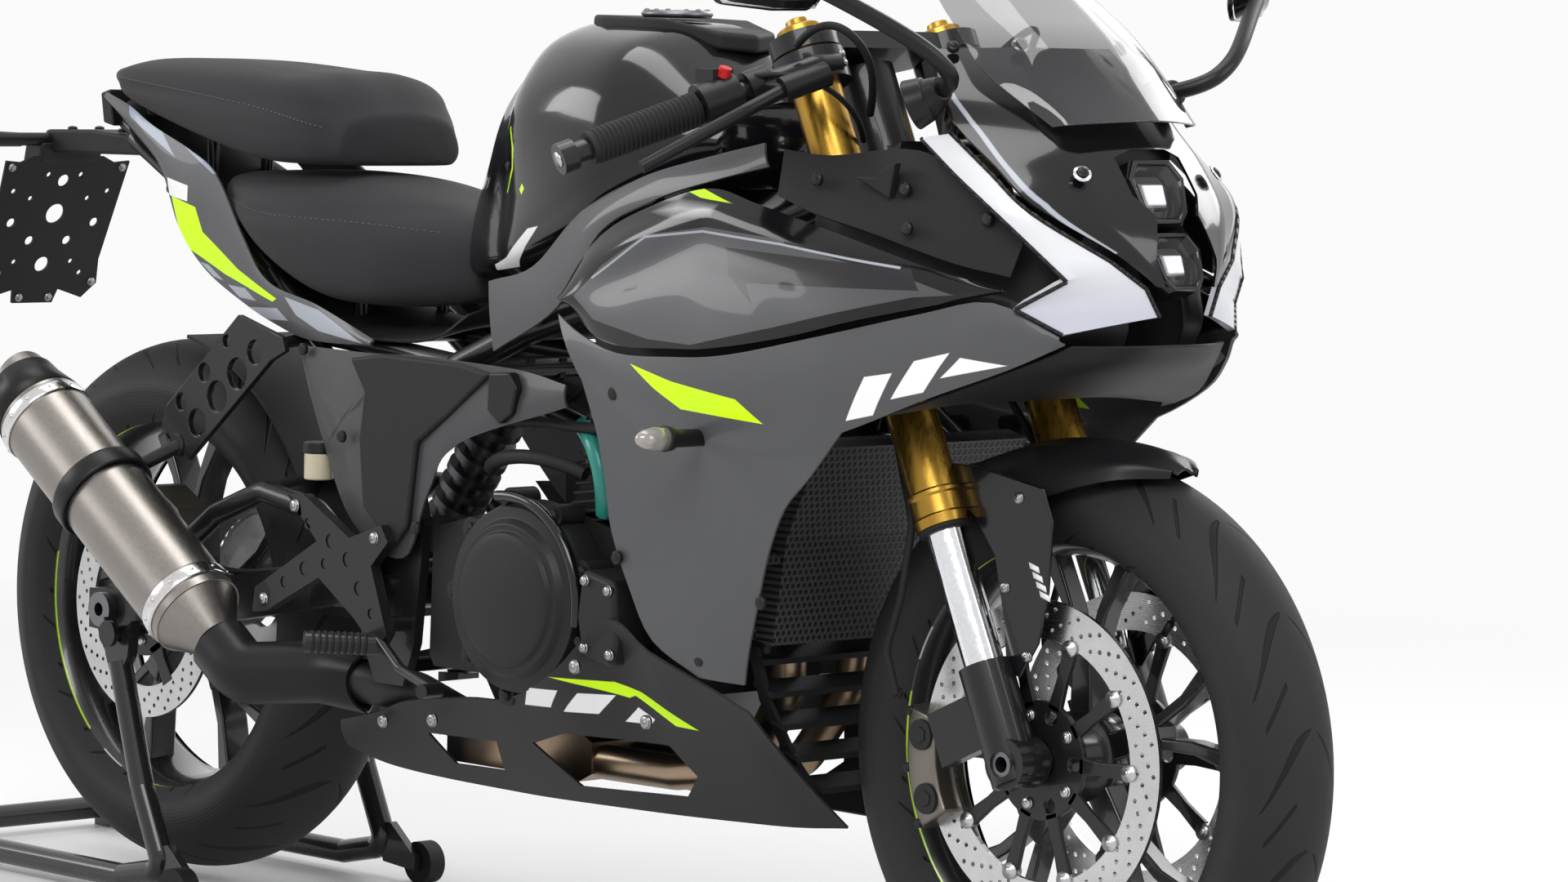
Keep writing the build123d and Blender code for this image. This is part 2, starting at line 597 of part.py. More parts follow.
def build_frame():
    head = steered(rod(HEAD_R, (0, 0, HEAD_SPAN[0]), (0, 0, HEAD_SPAN[1])))
    parts = []
    for route, r, bend in ((BEAM, FRAME_TUBE_R, 45.0), (DOWN_TUBE, 14.0, 60.0),
                           (UPPER_RAIL, SUBFRAME_R, 60.0), (LOWER_RAIL, SUBFRAME_R, 50.0)):
        parts += side_pair(tube(r, route, bend))
    parts += side_pair(pivot_plate())
    parts.append(rod(17.0, on_stand_pin(-8), on_stand_pin(STAND_BOSS_END)))
    gusset = plate([(525, 905), (505, 775), (430, 770), (420, 826), (470, 872)], -31, 31)
    parts.append(gusset)
    for x, y, z, r in CROSS_BARS:
        parts.append(rod(r, (x, -y, z), (x, y, z)))
    clevis = plate([(-48, 650), (-112, 646), (-114, 612), (-84, 610), (-50, 628)],
                   -SHOCK_EYE_HALF - SEAT_FIT - 8, -SHOCK_EYE_HALF - SEAT_FIT)
    parts += side_pair(clevis)
    tongue = plate([(440, 830), (436, 800), (338, 850), (338, 872)], -14, 14)
    parts.append(tongue)
    spine = plate([(500, 900), (560, 884), (700, 912), (700, 890), (574, 842), (514, 838)], -27, 27)
    cross = rod(9.0, (690, -136, 902), (690, 136, 902))
    ear = tube(8.0, [(690, -130, 902), (700, -138, 930), (706, -136, 956)], 12.0)
    parts += [spine, cross, *side_pair(ear)]
    body = head.fuse(*parts)
    body = body - steered(rod(STEM_R + RUNNING_FIT, (0, 0, HEAD_SPAN[0] - 5), (0, 0, HEAD_SPAN[1] + 5)))
    px, _, pz = PIVOT
    bolt_y = PLATE_INNER_Y + PLATE_T + 6
    return only(body.fuse(rod(PIVOT_R, (px, -bolt_y, pz), (px, bolt_y, pz))))


def build_swingarm():
    px, _, pz = PIVOT
    ax, az = REAR_AXLE.X, REAR_AXLE.Z
    beam = [(px - 10, pz + 28), (px - 120, pz + 16), (ax + 40, az + 26), (ax - 34, az + 22),
            (ax - 34, az - 24), (ax + 40, az - 28), (px - 120, pz - 34), (px - 10, pz - 28)]
    arm = plate(beam, -ARM_OUTER_Y, -ARM_INNER_Y)
    arch = tube(13.0, [(ax + 60, -128, az + 16), (-520, -128, 418), (-470, -128, 452), (-385, -128, 484),
                       (-290, -128, 470), (-205, -128, 408)], 30.0)
    barrel = rod(PIVOT_BARREL_R, (px, -ARM_OUTER_Y, pz), (px, ARM_OUTER_Y, pz))
    cross = box((-290, -215), (-ARM_INNER_Y - 4, ARM_INNER_Y + 4), (352, 402))
    spool_y = STAND_HALF + 16
    spool = rod(9.0, (SPOOL_X, -ARM_OUTER_Y + 4, SPOOL_Z), (SPOOL_X, -spool_y, SPOOL_Z))
    head = rod(15.0, (SPOOL_X, -spool_y, SPOOL_Z), (SPOOL_X, -spool_y - 6, SPOOL_Z))
    clevis = plate([(-288, 396), (-216, 396), (-216, 436), (-252, 438)],
                   -SHOCK_EYE_HALF - SEAT_FIT - 8, -SHOCK_EYE_HALF - SEAT_FIT)
    body = barrel.fuse(cross, *side_pair(arm, arch, spool, head, clevis))
    bore = Vector(0, 260, 0)
    body = body - rod(AXLE_R + RUNNING_FIT, REAR_AXLE - bore, REAR_AXLE + bore)
    body = body - rod(PIVOT_R + RUNNING_FIT, (px, -260, pz), (px, 260, pz))
    node("swingarm", only(body))
    reach = Vector(0, ARM_OUTER_Y + 12, 0)
    sleeve_in = REAR_DISC_Y - CARRIER_T / 2
    axle = rod(AXLE_R, REAR_AXLE - reach, REAR_AXLE + reach)
    for side in (-1, 1):
        axle = axle.fuse(rod(19.0, REAR_AXLE + Vector(0, side * sleeve_in, 0),
                             REAR_AXLE + Vector(0, side * (ARM_INNER_Y - SEAT_FIT), 0)))
        axle = axle.fuse(rod(20.0, REAR_AXLE + Vector(0, side * (ARM_OUTER_Y + SEAT_FIT), 0),
                             REAR_AXLE + Vector(0, side * (ARM_OUTER_Y + 12), 0)))
    node("rear_axle", only(axle - rod(AXLE_BORE_R, REAR_AXLE - reach * 1.1, REAR_AXLE + reach * 1.1)))


SPOOL_X = -598.0
SPOOL_Z = 306.0


def build_shock():
    low = Vector(-236, 0, 420)
    high = Vector(-96, 0, 628)
    along = (high - low).normalized()
    parts = [rod(20.0, low + along * 26, high - along * 26)]
    parts += [rod(12.0, low, low + along * 40), rod(12.0, high - along * 40, high)]
    for end in (low, high):
        parts.append(rod(18.0, end - Vector(0, SHOCK_EYE_HALF, 0), end + Vector(0, SHOCK_EYE_HALF, 0)))
    for k in range(8):
        mid = low + along * (46 + 22 * k)
        parts.append(rod(31.0, mid, mid + along * 9))
    node("rear_shock", only(parts[0].fuse(*parts[1:])))


def loop_outline(radius_rear, radius_front):
    """The chain's side plates as one loop: the hull of two circles, as (x, z) points."""
    rear = Vector(REAR_AXLE.X, REAR_AXLE.Z, 0)
    front = Vector(*FRONT_SPROCKET, 0)
    gap = front - rear
    lean = math.acos((radius_rear - radius_front) / gap.length)
    heading = math.atan2(gap.Y, gap.X)
    points = []
    for centre, r, start, stop, steps in ((rear, radius_rear, heading + lean,
                                           heading + 2 * math.pi - lean, 20),
                                          (front, radius_front, heading - lean, heading + lean, 10)):
        for k in range(steps + 1):
            a = start + (stop - start) * k / steps
            points.append((centre.X + r * math.cos(a), centre.Y + r * math.sin(a)))
    return points


def build_chain():
    rear_r = REAR_TEETH * CHAIN_PITCH / (2 * math.pi)
    front_r = FRONT_TEETH * CHAIN_PITCH / (2 * math.pi)
    half = 6.5
    parts = []
    for side in (-1, 1):
        inner = CHAIN_Y + side * (SPROCKET_T / 2 + CHAIN_GAP)
        outer = inner + side * CHAIN_PLATE_T
        y = (min(inner, outer), max(inner, outer))
        band = plate(loop_outline(rear_r + half, front_r + half), *y)
        hole = plate(loop_outline(rear_r - half, front_r - half), y[0] - 1, y[1] + 1)
        parts.append(only(band - hole))
    outline = loop_outline(rear_r, front_r)
    for a, b in ((outline[20], outline[21]), (outline[-1], outline[0])):
        for k in range(2, 19):
            t = k / 20
            x = a[0] + (b[0] - a[0]) * t
            z = a[1] + (b[1] - a[1]) * t
            reach = SPROCKET_T / 2 + CHAIN_GAP + 1
            parts.append(rod(4.0, (x, CHAIN_Y - reach, z), (x, CHAIN_Y + reach, z)))
    gear_at = Vector(FRONT_SPROCKET[0], 0, FRONT_SPROCKET[1])
    hub = rod(16.0, (gear_at.X, 80 + SEAT_FIT, gear_at.Z), (gear_at.X, CHAIN_Y + 9, gear_at.Z))
    spider = box((gear_at.X - 38, gear_at.X + 38), (CHAIN_Y - 9.5, CHAIN_Y - 8.2), (gear_at.Z - 6, gear_at.Z + 6))
    gear = sprocket(gear_at, FRONT_TEETH, CHAIN_Y, 10.0)
    node("chain", only(parts[0].fuse(*parts[1:], gear, hub, spider)))


# ---------------------------------------------------------------- engine and exhaust
def build_engine():
    case = plate([(-66, 470), (-70, 330), (-62, 318), (306, 318), (318, 400), (300, 470),
                  (180, 500), (60, 500)], -146, 80)
    left_case = plate([(20, 480), (20, 330), (304, 330), (300, 470)], 79, 146)
    sump = plate([(-60, 320), (-20, 264), (200, 264), (296, 320)], -84, 84)
    cylinders = plate([(120, 499), (298, 460), (352, 600), (190, 640)], -112, 112)
    head_cover = plate([(196, 636), (350, 596), (362, 628), (214, 668)], -98, 98)
    lug = plate([(-60, 482), (-60, 440), (-104, 446), (-104, 476)], SEAT_FIT - PLATE_INNER_Y, -126)
    body = case.fuse(left_case, sump, cylinders, head_cover, lug)
    node("engine_block", only(body))
    clutch = [(-25, 427), (-12, 476), (53, 503), (120, 508), (170, 486), (216, 440), (222, 412),
              (200, 374), (168, 342), (100, 320), (20, 322), (-8, 352)]
    small = plate([(228, 452), (296, 440), (300, 400), (232, 380)], -176, -146.3)
    cover = plate(clutch, -194, -146.3)
    face = plate([(-6, 426), (6, 462), (58, 484), (116, 487), (156, 458), (180, 412), (170, 372),
                  (132, 346), (66, 340), (14, 360)], -206, -193.5)
    lower = plate([(-20, 345), (0, 320), (30, 322), (20, 350)], -182, -146.3)
    right = only(cover.fuse(face, lower))
    generator = rod(66.0, (166, 146.3, 414), (166, 178, 414))
    cap = rod(48.0, (166, 177, 414), (166, 188, 414))
    node("engine_covers", right, small, only(generator.fuse(cap)))


HEADER_ROUTES = {
    -1: [(320, -52, 574), (398, -56, 520), (408, -58, 440), (404, -60, 330), (352, -62, 246),
         (240, -62, 228), (120, -58, 226)],
    1: [(320, 52, 574), (398, 52, 520), (408, 46, 440), (404, 34, 330), (352, 14, 246),
        (240, -4, 228), (120, -12, 226)],
}
COLLECTOR = ((-118, 122), (-78, 24), (204, 258))


MUFFLER_AXIS = (MUFFLER_REAR - MUFFLER_FRONT).normalized()
LINK_R = 24.0
LINK_ROUTE = [(-100, -52, 240), (-150, -96, 276), (-232, -164, 296), MUFFLER_FRONT - MUFFLER_AXIS * 100,
              MUFFLER_FRONT - MUFFLER_AXIS * 42]


def build_exhaust():
    pipes = [tube(HEADER_R, HEADER_ROUTES[k], 34.0) for k in (-1, 1)]
    (x0, x1), (y0, y1), (z0, z1) = COLLECTOR
    bend = [(x0, z1 - 8), (x0 + 14, z1), (x1 - 20, z1), (x1, z1 - 10), (x1, z0 + 10), (x1 - 20, z0),
            (x0 + 14, z0), (x0, z0 + 8)]
    can = plate(bend, y0, y1)
    link = tube(LINK_R, LINK_ROUTE, 40.0)
    body = pipes[0].fuse(pipes[1], can, link) - NODES["engine_block"][0]
    node("exhaust_headers", only(body))
    mouth = MUFFLER_FRONT - MUFFLER_AXIS * 41.7
    cone = cone_rod(26.0, MUFFLER_R - 2, mouth, MUFFLER_FRONT)
    shell = rod(MUFFLER_R, MUFFLER_FRONT, MUFFLER_REAR)
    tip = cone_rod(MUFFLER_R - 2, 40.0, MUFFLER_REAR, MUFFLER_REAR + MUFFLER_AXIS * 66)
    hole = rod(30.0, MUFFLER_REAR + MUFFLER_AXIS * 20, MUFFLER_REAR + MUFFLER_AXIS * 90)
    slant = Plane(origin=MUFFLER_REAR + MUFFLER_AXIS * 44, z_dir=MUFFLER_AXIS + Vector(-0.1, 0, -0.45))
    beyond = Solid.make_box(300, 300, 200, slant.shift_origin(slant.from_local_coords((-150, -150, 0))))
    node("muffler", only(shell.fuse(cone, tip) - hole - beyond))


SHIELD_AIR = 8.0


def build_shield():
    """A curved cover over the link pipe on the outer side."""
    a, b = Vector(*LINK_ROUTE[1]), Vector(*LINK_ROUTE[2])
    route = [a + (b - a) * 0.45, b, *LINK_ROUTE[3:4], MUFFLER_FRONT - MUFFLER_AXIS * 50]
    shell = tube(LINK_R + SHIELD_AIR + 3.0, route, 40.0) - tube(LINK_R + SHIELD_AIR, route, 40.0)
    outward = plate([(-184, -90), (-184, -330), (-460, -330), (-460, -196), (-290, -196)], 150, 460, "z")
    shell = only(shell & outward)
    post_at = b + Vector(0, -LINK_R - SEAT_FIT, 0)
    post = rod(6.0, post_at, post_at - Vector(0, SHIELD_AIR + 1, 0))
    node("exhaust_shield", only(shell.fuse(post)))


# ---------------------------------------------------------------- bodywork
TANK = [
    # x, then (half width, height) from the bottom edge up to the ridge
    (-74, ((70, 742), (94, 760), (90, 820), (74, 868), (40, 888), (0, 892))),
    (-36, ((84, 740), (112, 764), (108, 850), (84, 916), (46, 944), (0, 950))),
    (6, ((96, 742), (128, 772), (124, 880), (84, 958), (50, 984), (0, 990))),
    (60, ((108, 748), (150, 790), (146, 910), (108, 984), (56, 1014), (0, 1020))),
    (176, ((112, 780), (164, 830), (158, 930), (122, 992), (52, 1018), (0, 1022))),
    (232, ((108, 800), (156, 850), (154, 930), (118, 982), (48, 1008), (0, 1012))),
    (296, ((92, 826), (132, 866), (134, 912), (104, 946), (44, 962), (0, 966))),
    (340, ((70, 850), (100, 876), (104, 902), (82, 926), (36, 938), (0, 942))),
]
RIDER_SEAT = [
    (-508, ((56, 806), (86, 808), (96, 822), (86, 836), (50, 842), (0, 842))),
    (-400, ((80, 754), (118, 752), (138, 778), (128, 822), (70, 842), (0, 846))),
    (-290, ((86, 716), (126, 712), (146, 740), (136, 804), (76, 834), (0, 840))),
    (-190, ((80, 706), (116, 704), (136, 728), (124, 784), (70, 816), (0, 822))),
    (-120, ((60, 708), (86, 708), (98, 732), (88, 780), (52, 804), (0, 808))),
    (-82, ((44, 716), (62, 718), (68, 738), (62, 776), (40, 796), (0, 800))),
]
PASSENGER_SEAT = [
    (-756, ((30, 934), (58, 936), (66, 946), (58, 954), (30, 958), (0, 958))),
    (-700, ((50, 918), (82, 918), (92, 934), (82, 954), (44, 966), (0, 968))),
    (-560, ((70, 888), (104, 886), (114, 908), (100, 948), (54, 966), (0, 968))),
    (-430, ((72, 860), (108, 860), (118, 886), (104, 940), (56, 958), (0, 960))),
    (-350, ((66, 856), (98, 856), (108, 880), (94, 932), (50, 950), (0, 952))),
    (-306, ((54, 853), (78, 856), (86, 872), (72, 896), (40, 906), (0, 908))),
]
FRAME_COVER = [
    # top x y z, bottom x y z
    (34, -160, 742, 60, -174, 668),
    (122, -174, 762, 184, -194, 722),
    (200, -178, 822, 244, -190, 802),
    (300, -182, 862, 335, -194, 840),
    (400, -180, 886, 421, -194, 862),
    (476, -176, 902, 492, -186, 878),
]
UPPER_FAIRING = [
    # top x y z, bottom x y z
    (192, -200, 716, 249, -216, 650),
    (240, -212, 698, 310, -222, 628),
    (310, -224, 682, 385, -230, 612),
    (400, -234, 683, 470, -234, 602),
    (490, -239, 690, 560, -234, 600),
    (614, -231, 715, 650, -230, 622),
    (724, -200, 742, 738, -208, 658),
    (792, -168, 756, 806, -160, 690),
    (846, -128, 724, 848, -122, 716),
]
LEG_FAIRING = [
    # rear edge x y z, front edge x y z
    (277, -219, 597, 600, -224, 574),
    (290, -218, 547, 556, -216, 538),
    (297, -214, 497, 526, -208, 491),
    (317, -206, 439, 500, -197, 434),
    (343, -196, 386, 477, -186, 385),
    (400, -182, 352, 462, -176, 350),
]
SIDE_PANEL = [
    (192, -200, 733, 210, -202, 728),
    (251, -196, 798, 290, -222, 692),
    (337, -200, 834, 416, -237, 692),
    (423, -200, 854, 481, -241, 697),
    (503, -204, 840, 572, -236, 712),
    (632, -202, 812, 664, -224, 734),
    (736, -184, 784, 740, -190, 752),
    (800, -162, 770, 804, -162, 766),
]
BELLY = [
    # top x y z, bottom x y z
    (-262, -112, 236, -256, -104, 206),
    (-169, -136, 256, -214, -84, 190),
    (-99, -151, 276, -130, -80, 184),
    (20, -168, 292, 0, -80, 182),
    (97, -178, 300, 70, -80, 182),
    (197, -202, 340, 170, -80, 184),
    (282, -206, 402, 262, -78, 186),
    (338, -198, 374, 340, -72, 188),
    (420, -180, 340, 420, -60, 190),
    (458, -166, 320, 478, -40, 194),
]
NOSE = [
    # centre x z, middle x y z, outer x y z
    (742, 1003, 716, 70, 1003, 664, 126, 1000),
    (786, 962, 760, 84, 960, 698, 150, 958),
    (818, 928, 794, 92, 922, 726, 156, 926),
    (846, 898, 824, 94, 890, 778, 153, 888),
    (882, 845, 860, 86, 843, 824, 145, 851),
    (906, 795, 886, 60, 800, 870, 84, 808),
    (910, 768, 894, 44, 774, 889, 52, 782),
]
NOSE_LOWER = [
    (888, 714, 882, 50, 714, 846, 110, 714),
    (850, 690, 840, 76, 690, 800, 148, 688),
    (760, 660, 756, 90, 660, 736, 196, 656),
    (700, 650, 698, 100, 650, 690, 210, 640),
]
DUCT_PANEL = [
    # top x y z, bottom x y z
    (500, -172, 896, 506, -186, 850),
    (560, -162, 892, 560, -188, 834),
    (676, -156, 900, 640, -188, 818),
    (760, -148, 862, 736, -170, 792),
    (806, -138, 820, 796, -148, 780),
]
RUNNING_LIGHT = [
    # outer edge x y z, inner edge x y z
    (689, -168, 912, 722, -161, 918),
    (745, -170, 874, 774, -158, 881),
    (800, -168, 838, 822, -150, 844),
    (852, -128, 778, 874, -88, 797),
    (814, -160, 750, 888, -54, 772),
    (846, -126, 726, 892, -38, 744),
]
TAIL_SIDE = [
    # top x y z, bottom x y z
    (-770, -66, 926, -772, -66, 918),
    (-700, -86, 912, -690, -90, 884),
    (-640, -97, 890, -616, -104, 842),
    (-560, -108, 866, -567, -114, 775),
    (-500, -114, 838, -513, -116, 728),
    (-438, -124, 772, -434, -122, 694),
    (-380, -132, 722, -370, -128, 674),
    (-280, -140, 700, -300, -134, 660),
    (-166, -152, 668, -168, -153, 660),
]
SIDE_COVER = [
    # top x y z, bottom x y z
    (-318, -130, 653, -322, -130, 646),
    (-240, -144, 653, -272, -142, 566),
    (-150, -164, 654, -188, -162, 468),
    (-60, -168, 656, -92, -168, 434),
    (10, -170, 654, -46, -172, 510),
    (107, -172, 650, 6, -174, 566),
    (184, -180, 640, 186, -180, 616),
]
SCREEN = [
    # centre x z, then middle x y z, outer x y z
    # centre x z, middle x y z, outer x y z
    (612, 1128, 604, 46, 1124, 586, 78, 1112),
    (694, 1076, 676, 62, 1070, 636, 102, 1060),
    (766, 1018, 746, 74, 1016, 690, 116, 1014),
    (810, 970, 788, 82, 968, 732, 124, 978),
    (846, 934, 824, 82, 930, 800, 98, 926),
]


def mirrored_rows(table):
    """Rows across the whole width, from (centre x z, middle x y z, outer x y z)."""
    rows = []
    for cx, cz, mx, my, mz, ox, oy, oz in table:
        rows.append([Vector(ox, -oy, oz), Vector(mx, -my, mz), Vector(cx, 0, cz),
                     Vector(mx, my, mz), Vector(ox, oy, oz)])
    return rows


def build_bodywork():
    node("fuel_tank", lofted(TANK))
    node("rider_seat", lofted(RIDER_SEAT))
    node("passenger_seat", lofted(PASSENGER_SEAT))
    node("frame_covers", *side_pair(ribbed(FRAME_COVER, 2.0)))
    node("side_fairings", *side_pair(side_fairing()))
    node("upper_panels", *side_pair(ribbed(SIDE_PANEL, 6.0)))
    node("belly_pan", *side_pair(belly_side()))
    node("nose_cowl", nose_shell())
    under_nose = skin(mirrored_rows(NOSE_LOWER), WALL, (0, 0, 1))
    node("inner_panels", under_nose, *side_pair(ribbed(DUCT_PANEL, 0.0)))
    node("running_lights", *side_pair(ribbed(RUNNING_LIGHT, 3.0, wall=8.0)))
    node("tail_cowl", *side_pair(ribbed(TAIL_SIDE, 4.0)))
    node("side_covers", *side_pair(ribbed(SIDE_COVER, 3.0)))
    node("windscreen", skin(mirrored_rows(SCREEN), 3.0, (-1, 0, -1)))


def side_fairing():
    """The upper panel and the leg below it, as one skin that shares the edge between."""
    upper = [sagged_rib(r[:3], r[3:], 5.0, 3) for r in UPPER_FAIRING]
    columns = 6
    seam = [rib[-1] for rib in upper[:columns]]
    rows = [seam] + [sagged_rib(r[:3], r[3:], 2.0, columns - 1) for r in LEG_FAIRING]
    return skin(upper, WALL, (0, 1, 0), more=[list(zip(*rows))])


BELLY_WINDOWS = (
    # (x, z) corners, seen from the side
    ((-92, 240), (-76, 206), (10, 208), (30, 244)),
    ((96, 250), (130, 204), (290, 210), (322, 236), (300, 268), (160, 268)),
)


def belly_side():
    side = ribbed(BELLY, 4.0, steps=4)
    for window in BELLY_WINDOWS:
        side = side - plate(window, -260, -40)
    return only(side)


LAMP_HEX = ((-30, 906), (-46, 886), (-38, 806), (-26, 770), (26, 770), (38, 806), (46, 886), (30, 906))


def nose_shell():
    shell = skin(mirrored_rows(NOSE), WALL, (-1, 0, 0))
    return only(shell - plate(LAMP_HEX, 780, 960, "x"))


def build_lamps():
    """The headlamp's dark housing behind the nose's window, and its two lenses."""
    inset = 0.92
    mid_z = 838.0
    hexagon = [(y * inset, mid_z + (z - mid_z) * inset) for y, z in LAMP_HEX]
    housing = plate(hexagon, 800, 920, "x")
    lean = Plane(origin=(838, 0, 906), z_dir=(0.86, 0, 0.5))
    front = Solid.make_box(600, 600, 200, lean.shift_origin(lean.from_local_coords((-300, -300, 0))))
    housing = only(housing - front)
    lenses = []
    for x, z, w, h in ((846, 856, 26, 22), (872, 800, 22, 18)):
        lens = box((x, x + 26), (-w, w), (z - h, z + h))
        housing = only(housing - box((x - SEAT_FIT, 960), (-w - SEAT_FIT, w + SEAT_FIT),
                                     (z - h - SEAT_FIT, z + h + SEAT_FIT)))
        lenses.append(lens)
    node("headlamp_housing", housing)
    node("headlamp_lenses", *lenses)


def build_mirrors():
    foot = Vector(704, -160, 958)
    route = [foot, (752, -188, 974), (742, -238, 1008), (708, -292, 1044), (690, -330, 1062)]
    stem = tube(8.0, route, 22.0)
    shell = [(0, -292, 1044), (0, -300, 1030), (0, -392, 1036), (0, -404, 1062), (0, -398, 1108),
             (0, -330, 1122), (0, -292, 1096)]
    face = Face(Wire.make_polygon([Vector(668 + (-y - 300) * -0.45, y, z) for _, y, z in shell],
                                  close=True))
    head = Solid.extrude(face, Vector(30, 0, 6))
    base = rod(15.0, foot - Vector(8, -6, 6), foot + Vector(10, -8, 6))
    nose = NODES["nose_cowl"][0]
    node("mirrors", *side_pair(only(stem.fuse(head, base) - nose - nose.mirror(Plane.XZ))))


def build_indicators():
    front = rod(7.0, (446, -239, 604), (452, -300, 606))
    tip = cone_rod(15.0, 9.0, (451, -280, 606), (454, -332, 607))
    rear = rod(7.0, (-938, -52, 866), (-940, -120, 867))
    rear_tip = cone_rod(15.0, 9.0, (-939, -100, 867), (-941, -152, 868))
    node("indicators", *side_pair(only(front.fuse(tip)), only(rear.fuse(rear_tip))))


PLATE_MID = (-971.0, 0.0, 755.0)
PLATE_TILT = 22.7
PLATE_SIZE = (184.0, 196.0)
PLATE_THICK = 4.0
PLATE_PCD = 120.0


def build_tail_parts():
    node("tail_lamp", plate([(-798, 926), (-774, 930), (-770, 884), (-792, 894)], -60, 60))
    arm = plate([(-742, 874), (-940, 880), (-962, 858), (-950, 850), (-742, 850)], -34, 34)
    tilt = math.radians(PLATE_TILT)
    face = Plane(origin=PLATE_MID, x_dir=(0, 1, 0), z_dir=(-math.cos(tilt), 0, math.sin(tilt)))
    width, height = PLATE_SIZE
    corner = Location((-width / 2, -height / 2, -PLATE_THICK / 2))
    panel = Solid.make_box(width, height, PLATE_THICK).moved(face.location * corner)
    for k in range(4):
        a = math.radians(45 + 90 * k)
        x = PLATE_PCD / 2 * math.cos(a)
        y = PLATE_PCD / 2 * math.sin(a)
        panel = panel - rod(3.0, face.from_local_coords((x, y, -9)), face.from_local_coords((x, y, 9)))
    neck = plate([(-924, 862), (-960, 862), (-964, 826), (-932, 838)], -30, 30)
    stalks = rod(7.0, (-936, -51.7, 866), (-936, 51.7, 866))
    node("plate_holder", only(arm.fuse(panel, neck, stalks)))


def build_cockpit():
    """Dash screen and the stay that carries the nose from the steering head."""
    dash = plate([(600, 986), (612, 992), (640, 916), (628, 910)], -80, 80)
    node("instrument", dash)
    nose = NODES["nose_cowl"][0]
    held = NODES["frame"][0] - nose - nose.mirror(Plane.XZ) - NODES["fuel_tank"][0]
    lug = plate([(610, 882), (650, 888), (646, 930), (618, 930)], -18, 18)
    node("frame", only(held.fuse(only(lug - dash))))


def build_radiator():
    core = plate([(448, 394), (474, 390), (492, 500), (538, 596), (512, 604), (466, 508)], -150, 150)
    node("radiator", core)
    slats = []
    rail = skin([[Vector(436, -148, 386), Vector(450, -148, 386)],
                 [Vector(440, -134, 330), Vector(454, -134, 330)],
                 [Vector(446, -96, 262), Vector(460, -96, 262)],
                 [Vector(450, -56, 214), Vector(464, -56, 214)]], 5.0, (0, 1, 0))
    for z, x, half in ((378, 438, 146), (344, 441, 136), (310, 444, 122), (276, 448, 104), (242, 453, 72)):
        slats.append(plate([(x - 8, z), (x + 20, z - 10), (x + 20, z - 4), (x - 8, z + 6)], -half, half))
    body = slats[0].fuse(*slats[1:], *side_pair(rail))
    node("radiator_grille", only(body))


def build_rearsets():
    seat_y = PLATE_INNER_Y + PLATE_T + SEAT_FIT
    y = (-188, -176)
    outline = [(-268, 492), (-238, 494), (-158, 452), (-104, 470), (-92, 452), (-120, 424), (-92, 352),
               (-108, 332), (-150, 366), (-210, 404), (-300, 360), (-326, 356), (-322, 384), (-214, 444)]
    hanger = plate(outline, *y)
    peg = rod(12.0, (-112, -180, 338), (-156, -252, 342))
    pedal = tube(6.0, [(-112, -184, 346), (-60, -196, 318), (20, -214, 304)], 30.0)
    toe = rod(8.0, (20, -208, 304), (24, -236, 304))
    posts = [rod(9.0, (x, -seat_y, z), (x, -180, z)) for x, z in ((-100, 362), (-166, 426))]
    right = only(hanger.fuse(peg, pedal, toe, *posts))
    node("rearsets", *side_pair(right))


def build_rear_parts():
    hugger = spun([(-84, REAR_TYRE_R + 14), (84, REAR_TYRE_R + 14), (84, REAR_TYRE_R + 18),
                   (-84, REAR_TYRE_R + 18)], REAR_AXLE)
    wedge = plate([(REAR_AXLE.X, REAR_AXLE.Z), (REAR_AXLE.X + 330, REAR_AXLE.Z + 196),
                   (REAR_AXLE.X + 330, REAR_AXLE.Z + 420), (REAR_AXLE.X + 92, REAR_AXLE.Z + 420)], -100, 100)
    node("rear_fender", only(hugger & wedge))
    pad = caliper(REAR_AXLE, -REAR_DISC_Y, REAR_DISC_R, 62.0, 22.0, 40.0, (-112.0, -68.0))
    web_y = (SEAT_FIT - ARM_INNER_Y, -104.0)
    web = plate([(REAR_AXLE.X - 26, REAR_AXLE.Z + 20), (REAR_AXLE.X + 8, REAR_AXLE.Z + 80),
                 (REAR_AXLE.X + 60, REAR_AXLE.Z + 60), (REAR_AXLE.X + 30, REAR_AXLE.Z - 10)], *web_y)
    eye_ends = [(REAR_AXLE.X, y, REAR_AXLE.Z) for y in web_y]
    bore = rod(19.0 + SEAT_FIT, REAR_AXLE - Vector(0, 120, 0), REAR_AXLE)
    node("rear_caliper", only(pad.fuse(web, rod(34.0, *eye_ends)) - bore))
    bracket = plate([(-409, 683), (-330, 662), (-324, 646), (-350, 634), (-498, 512), (-548, 548),
                     (-540, 572)], -150, -142)
    strap_at = MUFFLER_FRONT + MUFFLER_AXIS * 205
    strap = ring(MUFFLER_R + 5, MUFFLER_R + SEAT_FIT, strap_at, strap_at + MUFFLER_AXIS * 24)
    inward = Vector(0.578, 1.0, 0.816).normalized()
    root = strap_at + MUFFLER_AXIS * 12 + inward * (MUFFLER_R + 3)
    lug = rod(8.0, root, (-518, -146, 528))
    node("muffler_hanger", only(bracket.fuse(only(lug - rod(MUFFLER_R + SEAT_FIT, MUFFLER_FRONT,
                                                            MUFFLER_REAR)), strap)))


